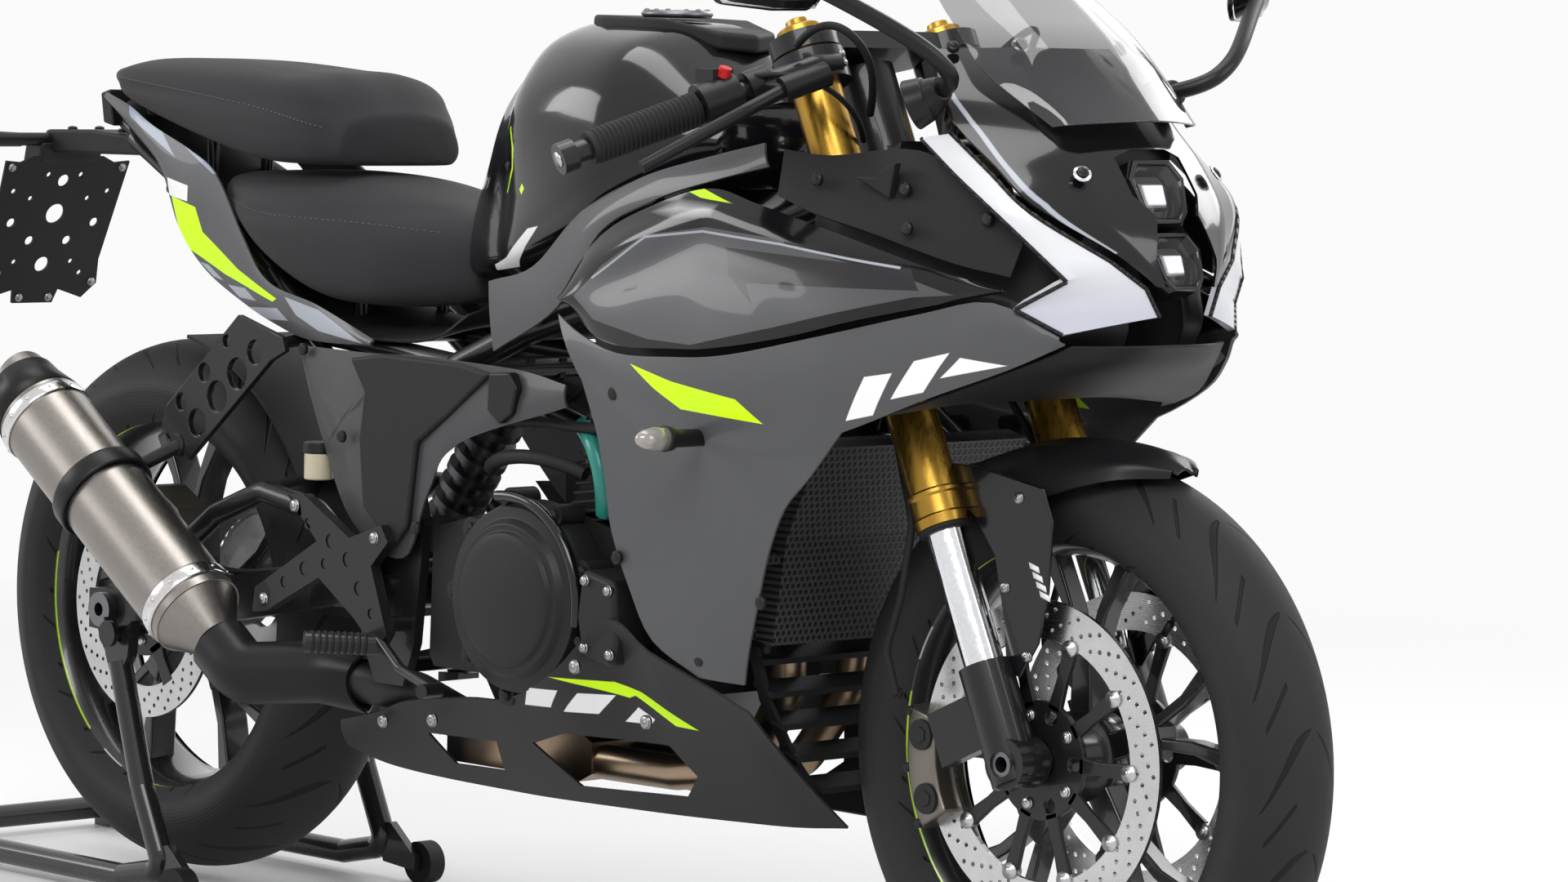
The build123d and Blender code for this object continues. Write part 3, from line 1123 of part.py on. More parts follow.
# ---------------------------------------------------------------- stands
def build_side_stand():
    hub = rod(16.0, on_stand_pin(STAND_BOSS_END + SEAT_FIT), on_stand_pin(STAND_BOSS_END + 13))
    px, py, pz = on_stand_pin(STAND_BOSS_END + 10.5)
    leg = tube(9.0, [(px, py, pz), (px - 130, py + 6, pz - 28), (px - 290, py + 14, pz - 58)], 200.0)
    foot = plate([(px - 300, pz - 74), (px - 264, pz - 68), (px - 264, pz - 60), (px - 300, pz - 62)],
                 py, py + 32)
    return only(hub.fuse(leg, foot))


def build_paddock_stand():
    y = -STAND_HALF
    side = tube(STAND_TUBE_R, [(SPOOL_X - 2, y, SPOOL_Z - 34), (-556, y, 132), (-512, y, 40),
                               (-590, y, STAND_FLOOR_Z), (STAND_REAR_X + 14, y, STAND_FLOOR_Z)], 16.0)
    hook = plate([(SPOOL_X - 26, SPOOL_Z + 16), (SPOOL_X - 10, SPOOL_Z + 2), (SPOOL_X - 8, SPOOL_Z - 9.4),
                  (SPOOL_X + 8, SPOOL_Z - 9.4), (SPOOL_X + 10, SPOOL_Z + 2), (SPOOL_X + 26, SPOOL_Z + 16),
                  (SPOOL_X + 20, SPOOL_Z - 26), (SPOOL_X + 8, SPOOL_Z - 44), (SPOOL_X - 14, SPOOL_Z - 44),
                  (SPOOL_X - 22, SPOOL_Z - 26)], y - 7, y + 7)
    fork = plate([(-530, 66), (-500, 70), (ROLLER_X + 8, ROLLER_R + 8), (ROLLER_X + 8, ROLLER_R - 8),
                  (-512, 22)], y - 5, y + 5)
    handle = rod(STAND_TUBE_R, (STAND_REAR_X, y - 10, STAND_FLOOR_Z), (STAND_REAR_X, -y + 10, STAND_FLOOR_Z))
    cross = rod(12.0, (-575, y, 92), (-575, -y, 92))
    axle_out = STAND_HALF + 5 + ROLLER_W + 6
    axle = rod(6.0, (ROLLER_X, y, ROLLER_R), (ROLLER_X, -axle_out, ROLLER_R))
    foot = box((STAND_REAR_X - 13, STAND_REAR_X + 16), (y - 8, y + 8), (0, STAND_FLOOR_Z - 8))
    return handle.fuse(*side_pair(side, hook, fork, axle, foot))


def build_rollers():
    y0 = -STAND_HALF - 6
    roller = ring(ROLLER_R, 6.0 + RUNNING_FIT, (ROLLER_X, y0, ROLLER_R), (ROLLER_X, y0 - ROLLER_W, ROLLER_R))
    node("stand_roller_right", roller)
    node("stand_roller_left", roller.mirror(Plane.XZ))


STUDS = (
    # carrier, radius, start, end, piece that the stud meets
    ("frame", 9.0, (60, -60, 692), (60, -60, 770), "fuel_tank"),
    ("frame", 7.0, (-300, -60, 665), (-300, -60, 740), "rider_seat"),
    ("frame", 7.0, (-476, -36, 764), (-476, -36, 820), "rider_seat"),
    ("frame", 7.0, (-600, -40, 816), (-600, -40, 920), "passenger_seat"),
    ("frame", 7.0, (-730, -30, 871), (-730, -30, 950), "passenger_seat"),
    ("frame", 11.0, (378, -104, 602), (340, -104, 586), "engine_block"),
    ("frame", 7.0, (402, -98, 655), (512, -98, 585), "radiator"),
    ("engine_block", 7.0, (300, -98, 385), (470, -98, 400), "radiator"),
    ("radiator_grille", 5.0, (452, -138, 381), (456, -138, 400), "radiator"),
    ("frame", 6.0, (-112, -134, 562), (-112, -190, 562), "side_covers"),
    ("frame", 6.0, (-60, -128, 640), (-60, -190, 640), "side_covers"),
    ("frame", 6.0, (100, -124, 702), (100, -200, 712), "frame_covers"),
    ("frame", 6.0, (330, -105, 782), (336, -210, 852), "frame_covers"),
    ("frame", 7.0, (250, -124, 745), (256, -240, 745), "upper_panels"),
    ("frame", 7.0, (405, -88, 812), (430, -250, 790), "upper_panels"),
    ("frame", 8.0, (380, -102, 606), (380, -250, 598), "side_fairings"),
    ("radiator", 6.0, (478, -148, 480), (480, -230, 480), "side_fairings"),
    ("engine_block", 7.0, (100, -80, 285), (100, -200, 285), "belly_pan"),
    ("engine_block", 7.0, (262, -140, 350), (262, -230, 352), "belly_pan"),
    ("frame", 8.0, (692, -18, 900), (820, -18, 882), "headlamp_housing"),
    ("frame", 8.0, (-724, -42, 868), (-800, -42, 908), "tail_lamp"),
    ("frame", 6.0, (-732, -20, 869), (-760, -20, 862), "plate_holder"),
    ("frame", 6.0, (-600, -62, 816), (-600, -140, 822), "tail_cowl"),
    ("frame", 6.0, (-400, -91, 714), (-400, -150, 714), "tail_cowl"),
    ("frame", 7.0, (-338, -103, 659), (-338, -170, 652), "muffler_hanger"),
    ("rear_fender", 6.0, (-378, -80, 496), (-384, -136, 486), "swingarm"),
    ("frame", 5.0, (690, -128, 902), (690, -180, 884), "inner_panels"),
    ("inner_panels", 5.0, (698, -196, 647), (698, -236, 660), "side_fairings"),
    ("indicators", 7.0, (448, -262, 605), (445, -224, 603), "side_fairings"),
    ("front_brake_hoses", 6.0, (544, -40, 708), (540, -40, 719), "triple_clamps"),
    ("front_brake_hoses", 6.0, (616, -111, 354), (616, -98, 352), "front_calipers"),
    ("nose_cowl", 5.0, (765, -58, 958), (808, -58, 980), "windscreen"),
    ("running_lights", 4.0, (800, -156, 852), (786, -146, 872), "nose_cowl"),
)


def across(point, side):
    return Vector(point[0], point[1] * side, point[2])


def reach_before(radius, a, b, pieces):
    """How far a bar runs from a towards b before it meets the first of the pieces."""
    along = Plane(origin=a, z_dir=b - a)
    reach = (b - a).length
    for piece in pieces:
        shared = rod(radius, a, b) & piece
        if shared:
            reach = min(reach, along.to_local_coords(shared).bounding_box().min.Z)
    return reach - STUD_GAP


def fit_studs():
    """Join each stud to its carrier, short of the piece it meets by the stud gap."""
    for carrier, radius, start, end, met in STUDS:
        for side in (1, -1):
            a, b = across(start, side), across(end, side)
            reach = reach_before(radius, a, b, NODES[met])
            bar = rod(radius, a, a + (b - a).normalized() * reach)
            solids = NODES[carrier]
            owner = min(range(len(solids)), key=lambda k: solids[k].distance_to(a))
            solids[owner] = only(solids[owner].fuse(bar))


def build_all():
    build_front_wheel()
    build_rear_wheel()
    build_fork()
    build_clamps()
    build_bars()
    build_controls()
    build_front_fender()
    build_front_brakes()
    node("frame", build_frame())
    build_swingarm()
    build_shock()
    build_chain()
    build_engine()
    build_exhaust()
    build_shield()
    build_bodywork()
    build_lamps()
    build_mirrors()
    build_indicators()
    build_tail_parts()
    build_cockpit()
    build_radiator()
    build_rearsets()
    build_rear_parts()
    node("side_stand", build_side_stand())
    node("paddock_stand", only(build_paddock_stand()))
    build_rollers()
    fit_studs()


def write_nodes():
    os.makedirs("parts", exist_ok=True)
    for name, solids in NODES.items():
        shape = solids[0] if len(solids) == 1 else Compound(children=solids)
        export_step(shape, f"parts/{name}.step")


build_all()
write_nodes()
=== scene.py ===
"""Sport motorcycle on its paddock stand: the looks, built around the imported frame.

Tables of points are in millimetres, in the frame's own axes: +X forward, +Y left, +Z up.
"""
import math

import bmesh
import bpy
from mathutils import Matrix, Vector
from mathutils.bvhtree import BVHTree


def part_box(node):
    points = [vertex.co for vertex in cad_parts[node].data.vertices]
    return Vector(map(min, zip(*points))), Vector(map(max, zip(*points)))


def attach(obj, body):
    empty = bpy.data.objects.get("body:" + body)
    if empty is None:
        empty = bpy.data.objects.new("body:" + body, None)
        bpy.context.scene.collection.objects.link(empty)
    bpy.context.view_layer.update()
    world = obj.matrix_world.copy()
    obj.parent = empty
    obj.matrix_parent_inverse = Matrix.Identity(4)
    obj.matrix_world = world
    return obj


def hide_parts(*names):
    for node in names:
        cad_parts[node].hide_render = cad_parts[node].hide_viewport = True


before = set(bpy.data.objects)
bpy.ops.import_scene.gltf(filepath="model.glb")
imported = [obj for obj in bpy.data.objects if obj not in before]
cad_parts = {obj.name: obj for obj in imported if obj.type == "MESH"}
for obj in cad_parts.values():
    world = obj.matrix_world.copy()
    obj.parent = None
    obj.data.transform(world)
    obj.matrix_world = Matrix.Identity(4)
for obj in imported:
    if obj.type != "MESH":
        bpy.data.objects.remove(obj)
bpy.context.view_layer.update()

MM = 0.001

# ---------------------------------------------------------------- driving dimensions
FRONT_AXLE = Vector((0.778, 0.0, 0.300))
REAR_AXLE = Vector((-0.658, 0.0, 0.327))
FRONT_TYRE_R = 0.300
REAR_TYRE_R = 0.312
RAKE = math.radians(24.5)
FORK_HALF = 0.102
FORK_OFFSET = 0.0293
AXIS_FOOT = Vector((0.739307, 0.0, 0.300))
AXIS_DIR = Vector((-math.sin(RAKE), 0.0, math.cos(RAKE)))
AXIS_FORWARD = Vector((math.cos(RAKE), 0.0, math.sin(RAKE)))
MUFFLER_FRONT = Vector((-0.395, -0.212, 0.347))
MUFFLER_REAR = Vector((-0.690, -0.216, 0.556))
BAR_START = Vector((0.498, -0.120, 0.983))
BAR_END = Vector((0.408, -0.374, 0.888))


# ---------------------------------------------------------------- shader maths
class Num:
    """A number in a shader, with Python's operators."""

    def __init__(self, paint, socket):
        self.paint = paint
        self.socket = socket

    def __add__(self, other):
        return self.paint.math("ADD", self, other)

    def __sub__(self, other):
        return self.paint.math("SUBTRACT", self, other)

    def __mul__(self, other):
        return self.paint.math("MULTIPLY", self, other)

    def __rsub__(self, other):
        return self.paint.math("SUBTRACT", other, self)

    __radd__ = __add__
    __rmul__ = __mul__

    def low(self, other):
        return self.paint.math("MINIMUM", self, other)

    def high(self, other):
        return self.paint.math("MAXIMUM", self, other)

    def size(self):
        return self.paint.math("ABSOLUTE", self)

    def power(self, exponent):
        return self.paint.math("POWER", self, exponent)

    def wave(self):
        return self.paint.math("SINE", self)

    def step(self, edge, soft):
        """0 below the edge, 1 above it, over a soft width."""
        return self.paint.ramp(self, edge - soft / 2, edge + soft / 2)


SHADER_INPUTS = {
    # short name, the shader's own name
    "colour": "Base Color",
    "rough": "Roughness",
    "metal": "Metallic",
    "coat": "Coat Weight",
    "coat_rough": "Coat Roughness",
    "sheen": "Sheen Weight",
    "alpha": "Alpha",
    "glow": "Emission Color",
    "glow_strength": "Emission Strength",
    "specular": "Specular IOR Level",
}
PRINT_GROWTH = -0.9


class Paint:
    """A material with one Principled shader and short calls for its nodes."""

    def __init__(self, name):
        self.material = bpy.data.materials.new(name)
        self.material.use_nodes = True
        self.tree = self.material.node_tree
        self.shader = self.tree.nodes["Principled BSDF"]
        self.places = None

    def node(self, kind, settings=None, inputs=None):
        made = self.tree.nodes.new(kind)
        for key, value in (settings or {}).items():
            setattr(made, key, value)
        for key, value in (inputs or {}).items():
            self.feed(made.inputs[key], value)
        return made

    def feed(self, socket, value):
        if isinstance(value, Num):
            value = value.socket
        if isinstance(value, bpy.types.NodeSocket):
            self.tree.links.new(value, socket)
        elif socket.type == "RGBA" and len(value) == 3:
            socket.default_value = (*value, 1.0)
        else:
            socket.default_value = value

    def math(self, operation, *values):
        made = self.node("ShaderNodeMath", {"operation": operation}, dict(enumerate(values)))
        return Num(self, made.outputs[0])

    def ramp(self, value, low, high):
        made = self.node("ShaderNodeMapRange", {"clamp": True},
                         {"Value": value, "From Min": low, "From Max": high})
        return Num(self, made.outputs["Result"])

    def place(self):
        """The point's x, y and z in the frame, in millimetres."""
        if self.places is None:
            source = self.node("ShaderNodeTexCoord").outputs["Object"]
            split = self.node("ShaderNodeSeparateXYZ", None, {0: source})
            self.source = source
            self.places = [Num(self, split.outputs[k]) * (1 / MM) for k in range(3)]
        return self.places

    def polar(self, centre):
        """The distance from an axle in millimetres, and the turn about it."""
        x, _, z = self.place()
        ahead, above = x - centre.x / MM, z - centre.z / MM
        return (ahead.power(2.0) + above.power(2.0)).power(0.5), self.math("ARCTAN2", above, ahead)

    def noise(self, scale, detail, roughness=0.5, stretch=(1, 1, 1)):
        self.place()
        mapped = self.node("ShaderNodeMapping", None, {"Vector": self.source, "Scale": stretch})
        made = self.node("ShaderNodeTexNoise", None, {"Vector": mapped.outputs[0], "Scale": scale,
                                                      "Detail": detail, "Roughness": roughness})
        return Num(self, made.outputs[0])

    def cells(self, scale):
        self.place()
        made = self.node("ShaderNodeTexVoronoi", None, {"Vector": self.source, "Scale": scale})
        return Num(self, made.outputs["Distance"])

    def mix(self, mask, a, b):
        made = self.node("ShaderNodeMix", {"data_type": "RGBA"}, {0: mask, 6: a, 7: b})
        return made.outputs[2]

    def patch(self, points, soft):
        """1 inside a convex outline of (x, z) points seen from the side, else 0."""
        x, _, z = self.place()
        cx = sum(p[0] for p in points) / len(points)
        cz = sum(p[1] for p in points) / len(points)
        inside = None
        for a, b in zip(points, points[1:] + points[:1]):
            dx, dz = b[0] - a[0], b[1] - a[1]
            length = math.hypot(dx, dz)
            nx, nz = -dz / length, dx / length
            if (cx - a[0]) * nx + (cz - a[1]) * nz < 0:
                nx, nz = -nx, -nz
            depth = x * nx + z * nz - (a[0] * nx + a[1] * nz)
            inside = depth if inside is None else inside.low(depth)
        return self.ramp(inside, PRINT_GROWTH, PRINT_GROWTH + soft)

    def patches(self, outlines, soft):
        total = None
        for points in outlines:
            one = self.patch(points, soft)
            total = one if total is None else total.high(one)
        return total

    def line(self, points, width):
        """1 along a polyline of (x, z) points seen from the side."""
        outlines = []
        for a, b in zip(points, points[1:]):
            dx, dz = b[0] - a[0], b[1] - a[1]
            length = math.hypot(dx, dz)
            nx, nz = -dz / length * width / 2, dx / length * width / 2
            outlines.append([(a[0] + nx, a[1] + nz), (b[0] + nx, b[1] + nz),
                             (b[0] - nx, b[1] - nz), (a[0] - nx, a[1] - nz)])
        return self.patches(outlines, 0.6)

    def bump(self, height, strength, distance):
        made = self.node("ShaderNodeBump", None, {"Height": height, "Strength": strength,
                                                  "Distance": distance})
        self.feed(self.shader.inputs["Normal"], made.outputs[0])

    def set(self, **values):
        for key, value in values.items():
            self.feed(self.shader.inputs[SHADER_INPUTS[key]], value)


LIME = (0.60, 0.95, 0.0)
WHITE = (0.80, 0.80, 0.80)
GREY_PAINT = (0.070, 0.071, 0.075)
SILVER = (0.34, 0.36, 0.40)
BLACK_PAINT = (0.005, 0.005, 0.006)
PAINT_SPECULAR = 0.22


def scaled(colour, low, high):
    """A darker and a paler tone of a colour."""
    return tuple(c * low for c in colour), tuple(min(1.0, c * high) for c in colour)


def plain_paint(name, colour, rough, metal=0.0, coat=0.0, grain=0.0, grain_scale=900.0, spread=0.12):
    """A finish with slight unevenness in colour and gloss, and a fine grain."""
    paint = Paint(name)
    cloud = paint.noise(14.0, 4.0)
    fine = paint.noise(grain_scale, 2.0)
    paint.set(colour=paint.mix(cloud, *scaled(colour, 1 - spread, 1 + spread)),
              rough=fine * 0.12 + cloud * 0.10 + (rough - 0.11), metal=metal, coat=coat,
              specular=PAINT_SPECULAR, coat_rough=0.05)
    if grain:
        paint.bump(fine, grain, 0.0004)
    return paint.material


def decorated(name, base, rough, layers, coat=0.0, grain=0.0):
    """A paint with (mask, colour, roughness) layers laid over a base colour."""
    paint = Paint(name)
    fine = paint.noise(1500.0, 2.0)
    cloud = paint.noise(9.0, 3.0)
    colour = paint.mix(cloud * 0.5 + fine * 0.5, *scaled(base, 0.90, 1.10))
    gloss = cloud * 0.06 + (rough - 0.03)
    for mask_of, tone, tone_rough in layers:
        mask = mask_of(paint)
        colour = paint.mix(mask, colour, tone)
        gloss = gloss + (tone_rough - gloss) * mask
    paint.set(colour=colour, rough=gloss, coat=coat, coat_rough=0.04, specular=PAINT_SPECULAR)
    if grain:
        paint.bump(fine, grain, 0.0003)
    return paint.material


# ---------------------------------------------------------------- mesh helpers
SIDES = ((-1, "right"), (1, "left"))
RIGHT = Vector((0, -1, 0))
LEFT = Vector((0, 1, 0))
UP = Vector((0, 0, 1))


def mm(point):
    return Vector(point) * MM


def add_grid(bm, rows, out):
    """Add a sheet of quads through rows of points, facing the way of out."""
    columns = len(rows[0])
    verts = bmesh.ops.create_grid(bm, x_segments=columns - 1, y_segments=len(rows) - 1, size=1.0)["verts"]
    for k, vert in enumerate(verts):
        row, column = divmod(k, columns)
        vert.co = mm(rows[row][column])
    faces = list({f for vert in verts for f in vert.link_faces})
    total = Vector()
    for face in faces:
        face.normal_update()
        total += face.normal * face.calc_area()
    if total.dot(Vector(out)) < 0:
        bmesh.ops.reverse_faces(bm, faces=faces)
    return verts


def displaced(verts, wave):
    """The vertices, moved by wave(point) where there is one, in millimetres."""
    if wave:
        for vert in verts:
            vert.co += Vector(wave(vert.co / MM)) * MM
    return verts


def rounded(thing, width, angle, segments=2, harden=True):
    """Round the edges that turn by more than the angle; sizes in millimetres and degrees."""
    edges = thing.modifiers.new("edges", "BEVEL")
    edges.width = width * MM
    edges.segments = segments
    edges.limit_method = "ANGLE"
    edges.angle_limit = math.radians(angle)
    edges.harden_normals = harden


def linked(name, data):
    thing = bpy.data.objects.new(name, data)
    bpy.context.scene.collection.objects.link(thing)
    return thing


def piece(name, bm, paint, body="bike", stands_for=(), level=0, wall=0.0, bevel=0.0, segments=2,
          angle=35.0, smooth=True):
    """A finished object from a bmesh, riding on a body."""
    mesh = bpy.data.meshes.new(name)
    bm.normal_update()
    bm.to_mesh(mesh)
    bm.free()
    mesh.materials.append(paint)
    thing = linked(name, mesh)
    if smooth:
        mesh.shade_smooth()
    if level:
        rounding = thing.modifiers.new("rounding", "SUBSURF")
        rounding.levels = rounding.render_levels = level
        rounding.boundary_smooth = "PRESERVE_CORNERS"
    if wall:
        thickness = thing.modifiers.new("wall", "SOLIDIFY")
        thickness.thickness = wall * MM
        thickness.offset = -1.0
        thickness.use_even_offset = True
    if bevel:
        rounded(thing, bevel, angle, segments, smooth)
    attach(thing, body)
    if stands_for:
        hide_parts(*stands_for)
    return thing


def evaluated_mesh(thing):
    """A new mesh of an object with its modifiers applied."""
    bpy.context.view_layer.update()
    graph = bpy.context.evaluated_depsgraph_get()
    return bpy.data.meshes.new_from_object(thing.evaluated_get(graph), preserve_all_data_layers=True,
                                           depsgraph=graph)


def carve(thing, outlines, low, high, across="y"):
    """Cut outlines right through a piece along one axis, and finish its modifiers."""
    cutters = []
    for outline in outlines:
        bm = bmesh.new()
        slab(bm, outline, low, high, across)
        bmesh.ops.recalc_face_normals(bm, faces=bm.faces)
        mesh = bpy.data.meshes.new("cutter")
        bm.to_mesh(mesh)
        bm.free()
        cutters.append(linked("cutter", mesh))
    for cutter in cutters:
        cut = thing.modifiers.new("cut", "BOOLEAN")
        cut.object = cutter
        cut.solver = "EXACT"
    mesh = evaluated_mesh(thing)
    thing.modifiers.clear()
    thing.data = mesh
    for cutter in cutters:
        bpy.data.objects.remove(cutter)


def outline_face(bm, points):
    """One flat face through points in millimetres."""
    verts = [bm.verts.new(mm(p)) for p in points]
    return bm.faces.new(verts)


def slab(bm, outline, low, high, across="y"):
    """A closed plate: a flat outline pushed from low to high along one axis, in millimetres."""
    k = "xyz".index(across)
    way = [0, 0, 0]
    way[k] = 1
    face = outline_face(bm, [(*p[:k], low, *p[k:]) for p in outline])
    pushed = bmesh.ops.extrude_face_region(bm, geom=[face])["geom"]
    verts = [g for g in pushed if isinstance(g, bmesh.types.BMVert)]
    bmesh.ops.translate(bm, verts=verts, vec=Vector(way) * (high - low) * MM)
    whole = {f for v in verts for f in v.link_faces} | {face}
    bmesh.ops.recalc_face_normals(bm, faces=list(whole))


def faced_back(bm):
    """Turn every face so that it looks back along the bike."""
    for face in bm.faces:
        face.normal_update()
        if face.normal.x > 0:
            face.normal_flip()


def turn_to(direction):
    """The rotation that takes +Z to a direction."""
    return Vector(direction).to_track_quat("Z", "Y").to_matrix().to_4x4()


def rod(bm, start, end, r_start, r_end=None, sides=24):
    """A round bar or cone between two points, sizes in metres."""
    a, b = Vector(start), Vector(end)
    place = Matrix.Translation((a + b) / 2) @ turn_to(b - a)
    bmesh.ops.create_cone(bm, cap_ends=True, segments=sides, radius1=r_start,
                          radius2=r_start if r_end is None else r_end, depth=(b - a).length, matrix=place)


def turned(bm, profile, centre, axis, steps=64, start_dir=None):
    """Spin a profile of (along the axis, radius) points in metres fully round an axis."""
    axis = Vector(axis).normalized()
    side = Vector(start_dir) if start_dir else axis.orthogonal().normalized()
    verts = [bm.verts.new(Vector(centre) + axis * along + side * radius) for along, radius in profile]
    edges = [bm.edges.new(pair) for pair in zip(verts, verts[1:])]
    bmesh.ops.spin(bm, geom=verts + edges, cent=centre, axis=axis, angle=math.tau, steps=steps,
                   use_merge=True, use_duplicate=False)
    bmesh.ops.remove_doubles(bm, verts=bm.verts, dist=0.00001)
    bmesh.ops.recalc_face_normals(bm, faces=bm.faces)


def hose(name, points, radius, paint, body, sides):
    """A held tube through points in metres, along a smooth curve, as a mesh."""
    curve = bpy.data.curves.new(name, "CURVE")
    curve.dimensions = "3D"
    spline = curve.splines.new("NURBS")
    spline.points.add(len(points) - 1)
    for held, point in zip(spline.points, points):
        held.co = (*point, 1.0)
    spline.order_u = min(4, len(points))
    spline.use_endpoint_u = True
    spline.resolution_u = 10
    curve.bevel_depth = radius
    curve.bevel_resolution = max(1, sides // 4 - 1)
    curve.use_fill_caps = True
    holder = linked(name, curve)
    mesh = evaluated_mesh(holder)
    bpy.data.objects.remove(holder)
    bpy.data.curves.remove(curve)
    bm = bmesh.new()
    bm.from_mesh(mesh)
    bpy.data.meshes.remove(mesh)
    bmesh.ops.recalc_face_normals(bm, faces=bm.faces)
    piece(name, bm, paint, body)


def hose_pairs(rows, paint, body):
    """Right and left hoses from (name, radius, sides, points of the left one in millimetres) rows."""
    for side, label in SIDES:
        for name, radius, sides, points in rows:
            hose(f"{name}_{label}", [mm((x, side * y, z)) for x, y, z in points], radius, paint, body, sides)


def mirror_y(bm):
    """Add the mirror image of everything across the bike's middle plane."""
    geometry = bm.verts[:] + bm.edges[:] + bm.faces[:]
    copied = bmesh.ops.duplicate(bm, geom=geometry)["geom"]
    verts = [g for g in copied if isinstance(g, bmesh.types.BMVert)]
    faces = [g for g in copied if isinstance(g, bmesh.types.BMFace)]
    bmesh.ops.scale(bm, verts=verts, vec=(1, -1, 1))
    bmesh.ops.reverse_faces(bm, faces=faces)


def steer(u, v, w):
    """A point from the steering axis's own frame (forward, left, up the axis), in metres."""
    return AXIS_FOOT + AXIS_FORWARD * u + Vector((0, v, 0)) + AXIS_DIR * w


def bolt(bm, at, out, radius, height=0.003):
    """A button-head screw with its hexagon socket, standing on a surface."""
    at, out = Vector(at), Vector(out).normalized()
    rod(bm, at - out * 0.002, at + out * height * 0.55, radius, radius, 16)
    rod(bm, at + out * height * 0.5, at + out * height, radius, radius * 0.72, 16)
    rod(bm, at + out * height * 0.98, at + out * (height + 0.0004), radius * 0.42, radius * 0.42, 6)


def built(name, add, paint, body="bike", nodes=(), both=False, **finish):
    """A piece from a bmesh that add fills, mirrored to the other side where both is set."""
    bm = bmesh.new()
    add(bm)
    if both:
        mirror_y(bm)
    return piece(name, bm, paint, body, nodes, **finish)


def plates(name, slabs, paint, body="bike", nodes=(), both=False, **finish):
    """A piece of flat plates, each an (outline, low, high) row, with its axis where it isn't Y."""
    return built(name, lambda bm: [slab(bm, *row) for row in slabs], paint, body, nodes, both, **finish)


def turnings(name, rows, paint, body="bike", nodes=(), **finish):
    """A piece of spun bodies, each a (profile, centre, axis, steps) row."""
    return built(name, lambda bm: [turned(bm, *row) for row in rows], paint, body, nodes, **finish)


def screws(name, spots, out, radius, height, paint, body="bike", both=False, **finish):
    """A piece of screws at spots in millimetres, all facing out."""
    return built(name, lambda bm: [bolt(bm, mm(at), out, radius, height) for at in spots], paint, body, (),
                 both, **finish)


# ---------------------------------------------------------------- camera, floor and light
CAMERA_TURN = math.radians(46.296)
CAMERA_RISE = math.radians(4.258)
CAMERA_ROLL = math.radians(1.191)
CAMERA_PLACE = Vector((4.57012, -4.06019, 1.01327))
LAMPS = (
    # name, place, target, width, height, power
    ("key", (2.6, -3.2, 3.6), (0.1, 0, 0.5), 3.2, 2.0, 150.0),
    ("fill", (4.6, 1.6, 2.2), (0.3, 0, 0.6), 2.4, 2.4, 70.0),
    ("tail_side", (-3.6, -2.8, 2.4), (-0.4, 0, 0.5), 2.4, 1.6, 70.0),
    ("far_side", (-0.6, 4.0, 3.0), (0.0, 0, 0.6), 3.0, 2.0, 75.0),
    ("top", (0.0, 0.0, 4.4), (0.0, 0.0, 0.0), 3.4, 1.4, 75.0),
)
AMBIENT = 0.42
SURROUND = 0.96


def set_camera():
    level = math.cos(CAMERA_RISE)
    back = Vector((math.sin(CAMERA_TURN) * level, -math.cos(CAMERA_TURN) * level, math.sin(CAMERA_RISE)))
    flat = Vector((math.cos(CAMERA_TURN), math.sin(CAMERA_TURN), 0))
    rise = back.cross(flat)
    right = flat * math.cos(CAMERA_ROLL) + rise * math.sin(CAMERA_ROLL)
    up = rise * math.cos(CAMERA_ROLL) - flat * math.sin(CAMERA_ROLL)
    data = bpy.data.cameras.new("view")
    data.sensor_width = 36.0
    data.lens = 128.45
    data.shift_x = 0.00294
    data.shift_y = 0.0049
    data.clip_end = 200.0
    camera = linked("view", data)
    camera.matrix_world = Matrix((*zip(right, up, back, CAMERA_PLACE), (0, 0, 0, 1)))
    bpy.context.scene.camera = camera


def area_lamp(name, place, target, width, height, power):
    data = bpy.data.lights.new(name, "AREA")
    data.shape = "RECTANGLE"
    data.size = width
    data.size_y = height
    data.energy = power
    lamp = linked(name, data)
    aim = (Vector(target) - Vector(place)).to_track_quat("-Z", "Y").to_matrix().to_4x4()
    lamp.matrix_world = Matrix.Translation(place) @ aim


def seen_white(tree):
    """A factor that is 1 for the rays that should meet a white surround."""
    path = tree.nodes.new("ShaderNodeLightPath")
    total = path.outputs["Is Camera Ray"]
    for kind in ("Is Glossy Ray", "Is Transmission Ray"):
        join = tree.nodes.new("ShaderNodeMath")
        join.operation = "MAXIMUM"
        tree.links.new(total, join.inputs[0])
        tree.links.new(path.outputs[kind], join.inputs[1])
        total = join.outputs[0]
    return total


def set_world():
    world = bpy.data.worlds.new("surround")
    bpy.context.scene.world = world
    world.use_nodes = True
    tree = world.node_tree
    backdrop = tree.nodes["Background"]
    backdrop.inputs["Color"].default_value = (1, 1, 1, 1)
    strength = tree.nodes.new("ShaderNodeMapRange")
    strength.inputs["To Min"].default_value = AMBIENT
    strength.inputs["To Max"].default_value = SURROUND
    tree.links.new(seen_white(tree), strength.inputs["Value"])
    tree.links.new(strength.outputs["Result"], backdrop.inputs["Strength"])


